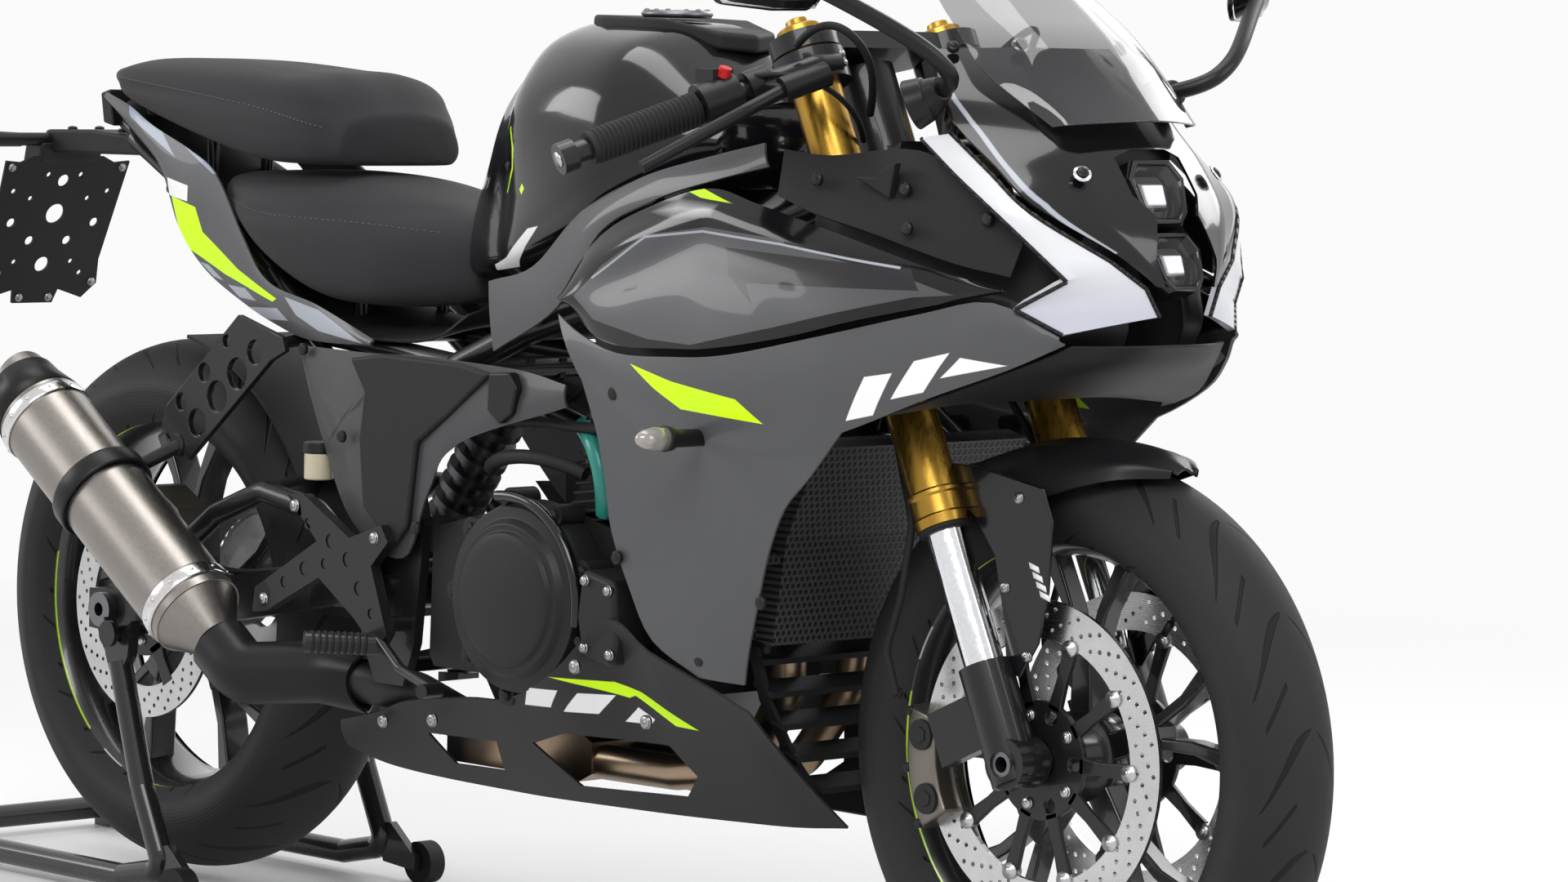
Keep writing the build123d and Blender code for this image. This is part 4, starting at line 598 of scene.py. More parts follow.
def set_floor():
    bm = bmesh.new()
    bmesh.ops.create_circle(bm, cap_ends=True, segments=96, radius=40.0)
    mesh = bpy.data.meshes.new("floor")
    bm.to_mesh(mesh)
    bm.free()
    floor = linked("floor", mesh)
    paint = Paint("floor_pale")
    x, y, _ = paint.place()
    away = (x * x + y * y).power(0.5) * 0.001
    paint.set(colour=(0.78, 0.78, 0.79), rough=0.42, specular=0.35)
    glow = paint.node("ShaderNodeEmission", None, {"Color": (1.0, 1.0, 1.0), "Strength": SURROUND})
    blend = paint.node("ShaderNodeMixShader", None, {0: paint.ramp(away, 1.3, 4.2) * Num(
        paint, seen_white(paint.tree))})
    paint.tree.links.new(paint.shader.outputs[0], blend.inputs[1])
    paint.tree.links.new(glow.outputs[0], blend.inputs[2])
    paint.tree.links.new(blend.outputs[0], paint.tree.nodes["Material Output"].inputs["Surface"])
    mesh.materials.append(paint.material)


bpy.context.scene.view_settings.view_transform = "Standard"
set_camera()
set_world()
set_floor()
for lamp_row in LAMPS:
    area_lamp(*lamp_row)


# ---------------------------------------------------------------- finishes
def tyre_paint(name, centre, half_width, pitch_count):
    """Rubber with curved sipes pressed into the tread, read from the turn about the axle."""
    paint = Paint(name)
    y = paint.place()[1]
    reach, turn = paint.polar(centre)
    side = y.size() * (1.0 / half_width)
    lean = side * 1.15 - (side * 3.1416).wave() * 0.22
    around = turn * (pitch_count / math.tau)
    leaf = around + lean + (y * 0.0035)
    gap = (paint.math("FRACT", leaf) - 0.5).size()
    wide = paint.ramp((side - 0.46).size(), 0.42, 0.10) * 0.050 + 0.004
    groove = paint.ramp(wide - gap, -0.010, 0.010) * side.step(0.08, 0.04) * (1 - side.step(0.86, 0.03))
    second = paint.math("FRACT", around + lean * 0.7 + 0.46)
    short = paint.ramp(0.026 - (second - 0.5).size(), -0.008, 0.008)
    short = short * side.step(0.40, 0.03) * (1 - side.step(0.78, 0.03))
    cut = groove.high(short * (1 - groove))
    wall = side.step(0.94, 0.05)
    band = paint.ramp((paint.math("FRACT", reach * 0.25) - 0.5).size(), 0.30, 0.36) * wall
    fine = paint.noise(700.0, 2.0)
    cloud = paint.noise(10.0, 3.0)
    rubber = paint.mix(cloud, (0.012, 0.012, 0.013), (0.019, 0.019, 0.020))
    # the sipes are painted darker than the rubber: painted shade in the grooves, with the bump giving their
    # shape
    paint.set(colour=paint.mix(cut, rubber, (0.003, 0.003, 0.003)),
              rough=cloud * 0.12 + 0.60 - wall * 0.10, specular=PAINT_SPECULAR)
    paint.bump(0 - cut * 4.0 + band * 0.25 + fine * 0.10, 0.75, 0.0012)
    return paint.material


RIM_STRIPE_R = 218.4
RIM_BLACK = (0.010, 0.010, 0.011)


def rim_paint(name, centre):
    """Gloss black with thin lime arcs round the rim's edge."""
    paint = Paint(name)
    reach, turn = paint.polar(centre)
    ring = paint.ramp(3.4 - (reach - RIM_STRIPE_R).size(), -0.3, 0.3)
    ring = ring * paint.place()[1].size().step(30.0, 2.0)
    breaks = paint.ramp((paint.math("FRACT", turn * (4 / math.tau) + 0.30) - 0.5).size(), 0.34, 0.335)
    dash = paint.ramp((paint.math("FRACT", turn * (4 / math.tau) + 0.80) - 0.5).size(), 0.06, 0.055)
    cloud = paint.noise(18.0, 3.0)
    tone = paint.mix(cloud, *scaled(RIM_BLACK, 0.8, 1.4))
    paint.set(colour=paint.mix(ring * dash, paint.mix(ring * breaks, tone, LIME), WHITE),
              rough=cloud * 0.10 + 0.22, coat=0.4, coat_rough=0.08)
    return paint.material


def brushed(name, colour, rough, strength, stretch=(1, 1, 1), tint=None):
    """A drawn or machined metal: streaks in gloss along the way it was worked."""
    paint = Paint(name)
    streak = paint.noise(260.0, 2.0, 0.6, stretch)
    cloud = paint.noise(7.0, 3.0)
    pale = tint or tuple(min(1.0, c * 1.25) for c in colour)
    paint.set(colour=paint.mix(streak * 0.5 + cloud * 0.5, tuple(c * 0.82 for c in colour), pale),
              rough=streak * 0.22 + (rough - 0.11), metal=1.0)
    paint.bump(streak, strength, 0.0003)
    return paint.material


def turned_metal(name, centre, colour, rough):
    """Steel worked in rings about an axle."""
    paint = Paint(name)
    reach, _ = paint.polar(centre)
    ring = (reach * 2.9).wave() * 0.5 + 0.5
    cloud = paint.noise(22.0, 3.0)
    paint.set(colour=paint.mix(cloud, *scaled(colour, 0.85, 1.15)),
              rough=ring * 0.10 + cloud * 0.08 + (rough - 0.08), metal=1.0)
    paint.bump(ring, 0.12, 0.0002)
    return paint.material


def heated_metal(name, hot, cool):
    """Steel pipe tinted by heat in patches of two tones, turning near black and dull towards its rear end."""
    paint = Paint(name)
    x, _, _ = paint.place()
    cloud = paint.noise(9.0, 4.0)
    blue = paint.noise(3.2, 2.0)
    # the pipe turns near black and less metallic towards the rear, behind and under the engine
    rear_darkening = paint.ramp(x, -30.0, -95.0)
    tone = paint.mix(paint.ramp(cloud * 0.6 + blue * 0.6, 0.35, 0.80), hot, cool)
    paint.set(colour=paint.mix(rear_darkening, tone, (0.012, 0.012, 0.013)), rough=cloud * 0.18 + rear_darkening * 0.15 + 0.24,
              metal=1 - rear_darkening)
    paint.bump(paint.noise(380.0, 2.0), 0.08, 0.0003)
    return paint.material


def vinyl(name, colour):
    """Grained seat cover with a soft sheen."""
    paint = Paint(name)
    grain = paint.cells(1150.0)
    soft = paint.noise(420.0, 3.0)
    cloud = paint.noise(8.0, 3.0)
    tone = paint.mix(cloud * 0.6 + grain * 0.4, *scaled(colour, 0.82, 1.2))
    paint.set(colour=tone, rough=grain * 0.14 + 0.60, sheen=0.03, specular=0.18)
    paint.bump(grain * 0.7 + soft * 0.5, 0.45, 0.0004)
    return paint.material


TYRE_FRONT = tyre_paint("tyre_rubber_front", FRONT_AXLE, 60.0, 16)
TYRE_REAR = tyre_paint("tyre_rubber_rear", REAR_AXLE, 80.0, 15)
RIM_FRONT = rim_paint("wheel_black_front", FRONT_AXLE)
RIM_REAR = rim_paint("wheel_black_rear", REAR_AXLE)
DISC_FRONT = turned_metal("disc_steel_front", FRONT_AXLE, (0.52, 0.52, 0.52), 0.26)
DISC_REAR = turned_metal("disc_steel_rear", REAR_AXLE, (0.50, 0.50, 0.50), 0.28)
GOLD = brushed("gold_anodised", (0.34, 0.19, 0.032), 0.30, 0.05, (1, 1, 0.2), (0.44, 0.26, 0.045))
CHROME = brushed("hard_chrome", (0.72, 0.73, 0.75), 0.12, 0.02)
STEEL = brushed("bright_steel", (0.46, 0.46, 0.47), 0.32, 0.08)
DARK_STEEL = brushed("dark_steel", (0.16, 0.16, 0.17), 0.38, 0.10)
DARK_ALLOY = plain_paint("dark_cast_alloy", (0.016, 0.016, 0.017), 0.44, metal=0.25, grain=0.35,
                         grain_scale=480.0)
FRAME_BLACK = plain_paint("frame_black", (0.009, 0.009, 0.010), 0.34, coat=0.25, grain=0.12,
                          grain_scale=300.0)
GLOSS_BLACK = plain_paint("gloss_black", BLACK_PAINT, 0.16, coat=0.4, spread=0.25)
MATT_BLACK = plain_paint("matt_plastic", (0.011, 0.011, 0.012), 0.56, grain=0.40, grain_scale=1300.0)
MID_BLACK = plain_paint("satin_plastic", (0.009, 0.009, 0.010), 0.36, grain=0.20, grain_scale=1300.0)
RUBBER = plain_paint("soft_rubber", (0.010, 0.010, 0.011), 0.62, grain=0.30, grain_scale=800.0)
BOLT_STEEL = plain_paint("bolt_steel", (0.30, 0.30, 0.31), 0.30, metal=1.0)
BRONZE = heated_metal("bronze_steel", (0.26, 0.17, 0.10), (0.34, 0.27, 0.20))
TITANIUM = brushed("titanium_grey", (0.235, 0.215, 0.195), 0.34, 0.10, tint=(0.30, 0.28, 0.26))
POLISHED = brushed("polished_band", (0.62, 0.61, 0.60), 0.16, 0.03)
SEAT = vinyl("seat_vinyl", (0.019, 0.019, 0.021))
CALIPER = plain_paint("caliper_bronze", (0.17, 0.155, 0.13), 0.36, metal=0.9, grain=0.15)
GUN_GREY = plain_paint("radiator_black", (0.022, 0.022, 0.023), 0.55, grain=0.30)
STAND_BLACK = plain_paint("stand_black", (0.012, 0.012, 0.013), 0.28, coat=0.5, grain=0.08)
LENS_RED = plain_paint("lamp_red", (0.35, 0.010, 0.010), 0.12, coat=0.8)
FLUID_CREAM = plain_paint("fluid_cream", (0.52, 0.47, 0.33), 0.22, coat=0.6)
LENS_WHITE = plain_paint("lamp_white", (0.72, 0.73, 0.76), 0.14, coat=0.8, spread=0.04)
TEAL = plain_paint("coolant_teal", (0.02, 0.22, 0.18), 0.35, coat=0.3)
RED_PLASTIC = plain_paint("switch_red", (0.45, 0.012, 0.010), 0.40)


def clear_plastic():
    """Lightly smoked screen plastic."""
    paint = Paint("clear_screen")
    cloud = paint.noise(6.0, 2.0)
    _, _, z = paint.place()
    mask = paint.ramp(z, 1030.0, 925.0)
    paint.set(colour=paint.mix(cloud, (0.016, 0.017, 0.019), (0.024, 0.025, 0.028)), rough=0.03,
              specular=0.5, coat=0.6, coat_rough=0.02, alpha=cloud * 0.04 + mask * 0.52 + 0.34)
    return paint.material


SCREEN_CLEAR = clear_plastic()

NODE_PAINT = (
    # finish, the CAD nodes that wear it
    (TYRE_FRONT, "front_tyre"),
    (TYRE_REAR, "rear_tyre"),
    (RIM_FRONT, "front_wheel_rim"),
    (RIM_REAR, "rear_wheel_rim"),
    (DISC_FRONT, "front_brake_discs"),
    (DISC_REAR, "rear_brake_disc"),
    (GOLD, "fork_tubes_upper"),
    (CHROME, "fork_tubes_lower"),
    (STEEL, "rear_sprocket"),
    (DARK_STEEL, "front_axle rear_axle rear_shock chain"),
    (DARK_ALLOY, "engine_block engine_covers"),
    (BRONZE, "exhaust_headers"),
    (TITANIUM, "muffler"),
    (CALIPER, "front_calipers rear_caliper"),
    (GUN_GREY, "radiator"),
    (SEAT, "rider_seat passenger_seat"),
    (SCREEN_CLEAR, "windscreen"),
    (STAND_BLACK, "paddock_stand"),
    (LENS_RED, "tail_lamp"),
    (LENS_WHITE, "headlamp_lenses running_lights"),
    (RUBBER, "grips front_brake_hoses stand_roller_left stand_roller_right"),
    (GLOSS_BLACK, "front_fender fuel_tank nose_cowl"),
    (MID_BLACK, "hand_controls exhaust_shield headlamp_housing indicators instrument mirrors"),
    (FRAME_BLACK, "fork_feet triple_clamps clip_on_bars frame swingarm muffler_hanger rearsets side_stand"),
    (MATT_BLACK, "inner_panels radiator_grille plate_holder rear_fender upper_panels side_fairings "
                 "belly_pan tail_cowl side_covers frame_covers"),
)


def paint_nodes():
    for finish, names in NODE_PAINT:
        for name in names.split():
            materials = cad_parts[name].data.materials
            materials.clear()
            materials.append(finish)


paint_nodes()


# ---------------------------------------------------------------- lofting through measured ribs
def curve_through(points, steps, breaks=()):
    """Points on a smooth curve through the given ones, with corners at the breaks."""
    made = [points[0]]
    last = len(points) - 1
    for k in range(last):
        p1, p2 = points[k], points[k + 1]
        p0 = points[k - 1] if k > 0 and k not in breaks else p1 * 2 - p2
        p3 = points[k + 2] if k + 2 <= last and k + 1 not in breaks else p2 * 2 - p1
        for j in range(1, steps + 1):
            t = j / steps
            made.append(0.5 * (p1 * 2 + (p2 - p0) * t + (p0 * 2 - p1 * 5 + p2 * 4 - p3) * t * t
                               + (p1 * 3 - p0 - p2 * 3 + p3) * t * t * t))
    return made


def smoothed(rows, along, across=1, corners=(), ridges=()):
    """Rows filled in both ways: corners are row numbers and ridges column numbers kept sharp."""
    wide = [curve_through([Vector(p) for p in row], across, ridges) for row in rows]
    tall = [curve_through(list(column), along, corners) for column in zip(*wide)]
    return [list(row) for row in zip(*tall)]


def shell(name, rows, paint, nodes=(), out=RIGHT, wall=3.0, bevel=0.7, both=True, body="bike", wave=None,
          angle=50):
    """A panel through rows of ribs, mirrored to the other side, with a wall and rounded edges."""
    return built(name, lambda bm: displaced(add_grid(bm, rows, out), wave), paint, body, nodes, both,
                 wall=wall, bevel=bevel, angle=angle)


def ribs(table, steps, crown=0.0):
    """Ribs from (top x y z, bottom x y z) rows on the right side, bowed outwards by crown."""
    rows = []
    for row in table:
        top, bottom = Vector(row[:3]), Vector(row[3:])
        places = [k / steps for k in range(steps + 1)]
        rows.append([top.lerp(bottom, t) + RIGHT * (4 * crown * t * (1 - t)) for t in places])
    return rows


def across(half):
    """A whole row of points from the half of it that ends on the middle line."""
    return half + [Vector((p.x, -p.y, p.z)) for p in reversed(half[:-1])]


def wide_rows(table):
    """Rows across the whole width, from (centre x z, middle x y z, outer x y z)."""
    return [across([Vector((ox, -oy, oz)), Vector((mx, -my, mz)), Vector((cx, 0, cz))])
            for cx, cz, mx, my, mz, ox, oy, oz in table]


FRAME_COVER = [
    # top x y z, bottom x y z
    (34, -160, 742, 60, -174, 668),
    (122, -174, 762, 184, -194, 722),
    (200, -178, 822, 244, -190, 802),
    (300, -182, 862, 335, -194, 840),
    (400, -180, 886, 421, -194, 862),
    (476, -176, 902, 492, -186, 878),
]
UPPER_FAIRING = [
    # top x y z, bottom x y z
    (192, -200, 716, 249, -216, 650),
    (240, -212, 698, 310, -222, 628),
    (310, -224, 682, 385, -230, 612),
    (400, -234, 683, 470, -234, 602),
    (490, -239, 690, 560, -234, 600),
    (614, -231, 715, 650, -230, 622),
    (724, -200, 742, 738, -208, 658),
    (792, -168, 756, 806, -160, 690),
    (846, -128, 724, 848, -122, 716),
]
LEG_COLUMNS = 21
LEG_FAIRING = [
    # rear edge x y z, front edge x y z
    (277, -219, 597, 600, -224, 574),
    (290, -218, 547, 556, -216, 538),
    (297, -214, 497, 526, -208, 491),
    (317, -206, 439, 500, -197, 434),
    (343, -196, 386, 477, -186, 385),
    (400, -182, 352, 462, -176, 350),
]
SIDE_PANEL = [
    # top x y z, bottom x y z
    (192, -200, 733, 210, -202, 728),
    (251, -196, 798, 290, -222, 692),
    (337, -200, 834, 416, -237, 692),
    (423, -200, 854, 481, -241, 697),
    (503, -204, 840, 572, -236, 712),
    (632, -202, 812, 664, -224, 734),
    (736, -184, 784, 740, -190, 752),
    (800, -162, 770, 804, -162, 766),
]
BELLY = [
    # top x y z, bottom x y z
    (-262, -112, 236, -256, -104, 206),
    (-169, -136, 256, -214, -84, 190),
    (-99, -151, 276, -130, -80, 184),
    (20, -168, 292, 0, -80, 182),
    (97, -178, 300, 70, -80, 182),
    (197, -202, 340, 170, -80, 184),
    (282, -206, 402, 262, -78, 186),
    (338, -198, 374, 340, -72, 188),
    (420, -180, 340, 420, -60, 190),
    (458, -166, 320, 478, -40, 194),
]
DUCT_PANEL = [
    # top x y z, bottom x y z
    (500, -172, 896, 506, -186, 850),
    (560, -162, 892, 560, -188, 834),
    (676, -156, 900, 640, -188, 818),
    (760, -148, 862, 736, -170, 792),
    (806, -138, 820, 796, -148, 780),
]
RUNNING_LIGHT = [
    # outer edge x y z, inner edge x y z
    (689, -168, 912, 722, -161, 918),
    (745, -170, 874, 774, -158, 881),
    (800, -168, 838, 822, -150, 844),
    (852, -128, 778, 874, -88, 797),
    (814, -160, 750, 888, -54, 772),
    (846, -126, 726, 892, -38, 744),
]
TAIL_SIDE = [
    # top x y z, bottom x y z
    (-770, -66, 926, -772, -66, 918),
    (-700, -86, 912, -690, -90, 884),
    (-640, -97, 890, -616, -104, 842),
    (-560, -108, 866, -567, -114, 775),
    (-500, -114, 838, -513, -116, 728),
    (-438, -124, 772, -434, -122, 694),
    (-380, -132, 722, -370, -128, 674),
    (-280, -140, 700, -300, -134, 660),
    (-166, -152, 668, -168, -153, 660),
]
SIDE_COVER = [
    # top x y z, bottom x y z
    (-318, -130, 653, -322, -130, 646),
    (-240, -144, 653, -272, -142, 566),
    (-150, -164, 654, -188, -162, 468),
    (-60, -168, 656, -92, -168, 434),
    (10, -170, 654, -46, -172, 510),
    (107, -172, 650, 6, -174, 566),
    (184, -180, 640, 186, -180, 616),
]
NOSE = [
    # centre x z, middle x y z, outer x y z
    (742, 1003, 716, 70, 1003, 664, 126, 1000),
    (786, 962, 760, 84, 960, 698, 150, 958),
    (818, 928, 794, 92, 922, 726, 156, 926),
    (846, 898, 824, 94, 890, 778, 153, 888),
    (882, 845, 860, 86, 843, 824, 145, 851),
    (906, 795, 886, 60, 800, 870, 84, 808),
    (910, 768, 894, 44, 774, 889, 52, 782),
]
NOSE_LOWER = [
    # centre x z, middle x y z, outer x y z
    (888, 714, 882, 50, 714, 846, 110, 714),
    (850, 690, 840, 76, 690, 800, 148, 688),
    (760, 660, 756, 90, 660, 736, 196, 656),
    (700, 650, 698, 100, 650, 690, 210, 640),
]
SCREEN = [
    # centre x z, middle x y z, outer x y z
    (612, 1128, 604, 46, 1124, 586, 78, 1112),
    (694, 1076, 676, 62, 1070, 636, 102, 1060),
    (766, 1018, 746, 74, 1016, 690, 116, 1014),
    (810, 970, 788, 82, 968, 732, 124, 978),
    (846, 934, 824, 82, 930, 800, 98, 926),
]
TANK = [
    # x, then (half width, height) from the bottom edge up to the ridge
    (-88, ((60, 738), (82, 752), (80, 806), (66, 842), (36, 858), (0, 862))),
    (-36, ((84, 740), (112, 764), (108, 850), (84, 916), (46, 944), (0, 950))),
    (6, ((96, 742), (128, 772), (124, 880), (84, 958), (50, 984), (0, 990))),
    (60, ((108, 748), (150, 790), (146, 910), (108, 984), (56, 1014), (0, 1020))),
    (176, ((112, 780), (164, 830), (158, 930), (122, 992), (52, 1018), (0, 1022))),
    (232, ((108, 800), (156, 850), (154, 930), (118, 982), (48, 1008), (0, 1012))),
    (296, ((92, 826), (132, 866), (134, 912), (104, 946), (44, 962), (0, 966))),
    (340, ((70, 850), (100, 876), (104, 902), (82, 926), (36, 938), (0, 942))),
]
RIDER_SEAT = [
    # x, then (half width, height) from the bottom edge up to the ridge
    (-508, ((56, 806), (86, 808), (96, 822), (86, 836), (50, 842), (0, 842))),
    (-400, ((80, 754), (118, 752), (138, 778), (128, 822), (70, 842), (0, 846))),
    (-290, ((86, 716), (126, 712), (146, 740), (136, 804), (76, 834), (0, 840))),
    (-190, ((80, 706), (116, 704), (136, 728), (124, 784), (70, 816), (0, 822))),
    (-120, ((60, 708), (86, 708), (98, 732), (88, 780), (52, 804), (0, 808))),
    (-82, ((44, 716), (62, 718), (68, 738), (62, 776), (40, 796), (0, 800))),
]
PASSENGER_SEAT = [
    # x, then (half width, height) from the bottom edge up to the ridge
    (-756, ((30, 934), (58, 936), (66, 946), (58, 954), (30, 958), (0, 958))),
    (-700, ((50, 918), (82, 918), (92, 934), (82, 954), (44, 966), (0, 968))),
    (-560, ((70, 888), (104, 886), (114, 908), (100, 948), (54, 966), (0, 968))),
    (-430, ((72, 860), (108, 860), (118, 886), (104, 940), (56, 958), (0, 960))),
    (-350, ((66, 856), (98, 856), (108, 880), (94, 932), (50, 950), (0, 952))),
    (-306, ((54, 853), (78, 856), (86, 872), (72, 896), (40, 906), (0, 908))),
]


# ---------------------------------------------------------------- decorated finishes
def fill(*outlines, soft=0.7):
    """The mask of convex outlines of (x, z) corners, seen from the side."""
    return lambda paint: paint.patches(outlines, soft)


def stripe(width, *points):
    """The mask of a line through (x, z) points, seen from the side."""
    return lambda paint: paint.line(points, width)


WHITE_BARS = (
    # corners (x, z), seen from the side
    ((677, 678), (706, 683), (687, 642), (657, 635)),
    ((729, 696), (760, 705), (739, 667), (708, 659)),
    ((771, 701), (804, 695), (756, 682)),
)
BELLY_BARS = (
    ((144, 317), (187, 318), (164, 298), (125, 297)),
    ((212, 317), (253, 318), (223, 296), (182, 295)),
    ((278, 307), (295, 296), (286, 290), (253, 290)),
)
TAIL_DASHES = (
    ((-521, 736), (-506, 734), (-478, 719), (-496, 722)),
    ((-463, 713), (-427, 711), (-406, 699), (-442, 701)),
    ((-421, 690), (-358, 692), (-339, 680), (-392, 679)),
)
COVER_DASHES = (
    ((-228, 566), (-214, 574), (-236, 556), (-244, 552)),
    ((-206, 584), (-186, 600), (-206, 580), (-222, 572)),
    ((-176, 600), (-150, 616), (-176, 594), (-196, 586)),
    ((-140, 612), (-104, 634), (-134, 606), (-160, 598)),
    ((-98, 624), (-60, 646), (-92, 618), (-118, 612)),
)
PANEL_TOP = (
    ((186, 736), (246, 806), (270, 770), (208, 722)),
    ((246, 806), (338, 856), (340, 804), (270, 770)),
    ((338, 856), (432, 872), (432, 816), (340, 804)),
    ((432, 872), (560, 854), (552, 808), (432, 816)),
    ((560, 854), (700, 816), (698, 780), (552, 804)),
    ((700, 816), (816, 786), (816, 744), (698, 780)),
)
# each layer is its mask, colour and roughness
FAIRING_PAINT = decorated("side_fairing_grey", GREY_PAINT, 0.40, (
    (fill(((342, 671), (409, 658), (425, 632), (382, 650)),
          ((409, 658), (509, 646), (545, 625), (425, 632))), LIME, 0.36),
    (fill(*WHITE_BARS), WHITE, 0.36),
), coat=0.15)
PANEL_PAINT = decorated("upper_panel_grey", GREY_PAINT, 0.38, (
    (fill(*PANEL_TOP), BLACK_PAINT, 0.12),
    (fill(((467, 796), (709, 785), (721, 765), (507, 763)),
          ((467, 796), (507, 763), (520, 744), (480, 770))), (0.016, 0.016, 0.018), 0.28),
    # painted shade: a gloss black stripe along the crease at the panel's lower edge, where it meets the side
    # fairing
    (stripe(15.0, (210, 736), (265, 706), (365, 691), (439, 689), (557, 713), (717, 750), (812, 758)),
     BLACK_PAINT, 0.14),
    # painted highlight: a soft-edged pale grey patch laid on the gloss black top band
    (fill(((336, 827), (379, 843), (446, 839), (440, 826), (379, 822)), soft=14.0), (0.55, 0.56, 0.58), 0.25),
    (fill(((362, 849), (391, 857), (413, 853), (474, 837), (460, 834), (413, 845))), LIME, 0.30),
    (stripe(1.2, (255, 756), (342, 802), (428, 811), (547, 803), (698, 786)), SILVER, 0.30),
), coat=0.25)
BELLY_PAINT = decorated("belly_grey", (0.019, 0.019, 0.020), 0.50, (
    (fill(((193, 333), (262, 333), (293, 325), (271, 318)),
          ((262, 333), (293, 325), (360, 292), (329, 293))), LIME, 0.40),
    (fill(*BELLY_BARS), WHITE, 0.42),
), grain=0.25)
TAIL_PAINT = decorated("tail_grey", GREY_PAINT, 0.38, (
    (fill(((-593, 831), (-550, 823), (-549, 806), (-589, 812))), WHITE, 0.36),
    (fill(((-582, 810), (-533, 799), (-517, 771), (-560, 760)),
          ((-560, 785), (-517, 771), (-441, 732), (-470, 726), (-555, 755)),
          ((-470, 734), (-441, 732), (-360, 703), (-366, 700), (-470, 726))), LIME, 0.36),
    (fill(*TAIL_DASHES), SILVER, 0.34),
    (fill(((-341, 705), (-276, 694), (-187, 663), (-275, 672), (-319, 687))), SILVER, 0.26),
    (fill(((-700, 912), (-578, 874), (-505, 839), (-538, 821), (-585, 857), (-690, 900)),
          ((-578, 874), (-418, 846), (-440, 836), (-505, 839))), (0.26, 0.29, 0.36), 0.24),
), coat=0.2)
SIDE_COVER_PAINT = decorated("side_cover_grey", (0.048, 0.048, 0.051), 0.44, (
    (fill(*COVER_DASHES), (0.014, 0.014, 0.015), 0.42),
), coat=0.1)
COVER_PAINT = decorated("frame_cover_grey", (0.040, 0.041, 0.044), 0.36, (
    (stripe(7.0, (34, 745), (122, 766), (200, 826), (300, 866)), BLACK_PAINT, 0.2),
), coat=0.3)
TANK_PAINT = decorated("tank_black", BLACK_PAINT, 0.14, (
    (fill(((-12, 751), (39, 757), (28, 766), (-9, 756)),
          ((39, 757), (101, 802), (83, 799), (28, 766))), WHITE, 0.2),
    (stripe(3.0, (20, 836), (44, 862), (48, 884), (40, 906)), LIME, 0.2),
    (stripe(6.0, (66, 838), (72, 844)), LIME, 0.2),
), coat=0.4)
NOSE_PAINT = decorated("nose_black", BLACK_PAINT, 0.13, (
    (stripe(1.6, (664, 1000), (700, 962), (734, 930), (784, 888), (828, 852), (872, 806)), SILVER, 0.25),
), coat=0.4)


# ---------------------------------------------------------------- side panels
COVER_PAD = (
    # (x, z) corners, seen from the side, in this and the next outlines
    (-176, 648), (-120, 655), (8, 652), (60, 644), (-10, 594), (-60, 562), (-74, 470), (-98, 446),
    (-150, 486), (-158, 560), (-150, 612))
COVER_HATCH = ((66, 646), (98, 648), (112, 632), (104, 604), (84, 592), (64, 606))
BELLY_WINDOWS = (
    ((-92, 240), (-76, 206), (10, 208), (30, 244)),
    ((96, 250), (130, 204), (290, 210), (322, 236), (300, 268), (160, 268)),
)


def build_side_fairing():
    """The upper fairing and the leg that hangs from the first columns of its lower edge."""
    upper = smoothed(ribs(UPPER_FAIRING, 6, 5.0), 4)
    seam = [line[-1] for line in upper[:LEG_COLUMNS]]
    leg = smoothed([seam] + ribs(LEG_FAIRING, LEG_COLUMNS - 1, 2.0), 4)

    def add(bm):
        add_grid(bm, upper, RIGHT)
        add_grid(bm, leg, RIGHT)
        bmesh.ops.remove_doubles(bm, verts=bm.verts, dist=0.0002)

    built("side_fairing_shell", add, FAIRING_PAINT, "bike", ["side_fairings"], True, wall=3.5, bevel=0.8,
          angle=50)


def hump(at, middle, width):
    """1 at the middle, falling smoothly to 0 over about twice the width."""
    return math.exp(-((at - middle) / width) ** 2)


def sculpt_panel(at):
    """The upper panel's proud top band and the hollow below it."""
    x, _, z = at
    drop = 846 - (x - 430) * (0.16 if x > 430 else -0.30) - z
    fade = max(0.0, min(1.0, (x - 215) / 90)) * max(0.0, min(1.0, (780 - x) / 120))
    return (0, (hump(drop, 52, 20) * 4.0 - hump(drop, 14, 16) * 5.0) * fade, 0)


def build_side_panels():
    shell("upper_panel", smoothed(ribs(SIDE_PANEL, 20, 6.0), 7), PANEL_PAINT, ["upper_panels"],
          wave=sculpt_panel)
    build_side_fairing()
    duct = smoothed(ribs(DUCT_PANEL, 10), 5)
    under = smoothed(wide_rows(NOSE_LOWER), 5, 5)

    def add(bm):
        add_grid(bm, duct, RIGHT)
        mirror_y(bm)
        add_grid(bm, under, -UP)

    built("duct_panels", add, MATT_BLACK, "bike", ["inner_panels"], wall=3.0, bevel=0.7, angle=50)
    for name, table, steps, crown, paint, node in (
            ("tank_side_cover", FRAME_COVER, 8, 2.0, COVER_PAINT, "frame_covers"),
            ("tail_shell", TAIL_SIDE, 10, 4.0, TAIL_PAINT, "tail_cowl"),
            ("side_cover_shell", SIDE_COVER, 12, 3.0, SIDE_COVER_PAINT, "side_covers")):
        shell(name, smoothed(ribs(table, steps, crown), 6), paint, [node])
    plates("side_cover_pad", [(COVER_PAD, -179, -170)], MATT_BLACK, both=True, bevel=4.0, segments=3,
           angle=30)
    plates("side_cover_hatch", [(COVER_HATCH, -186, -171)], MID_BLACK, both=True, bevel=3.0, segments=3,
           angle=30)
    build_belly()


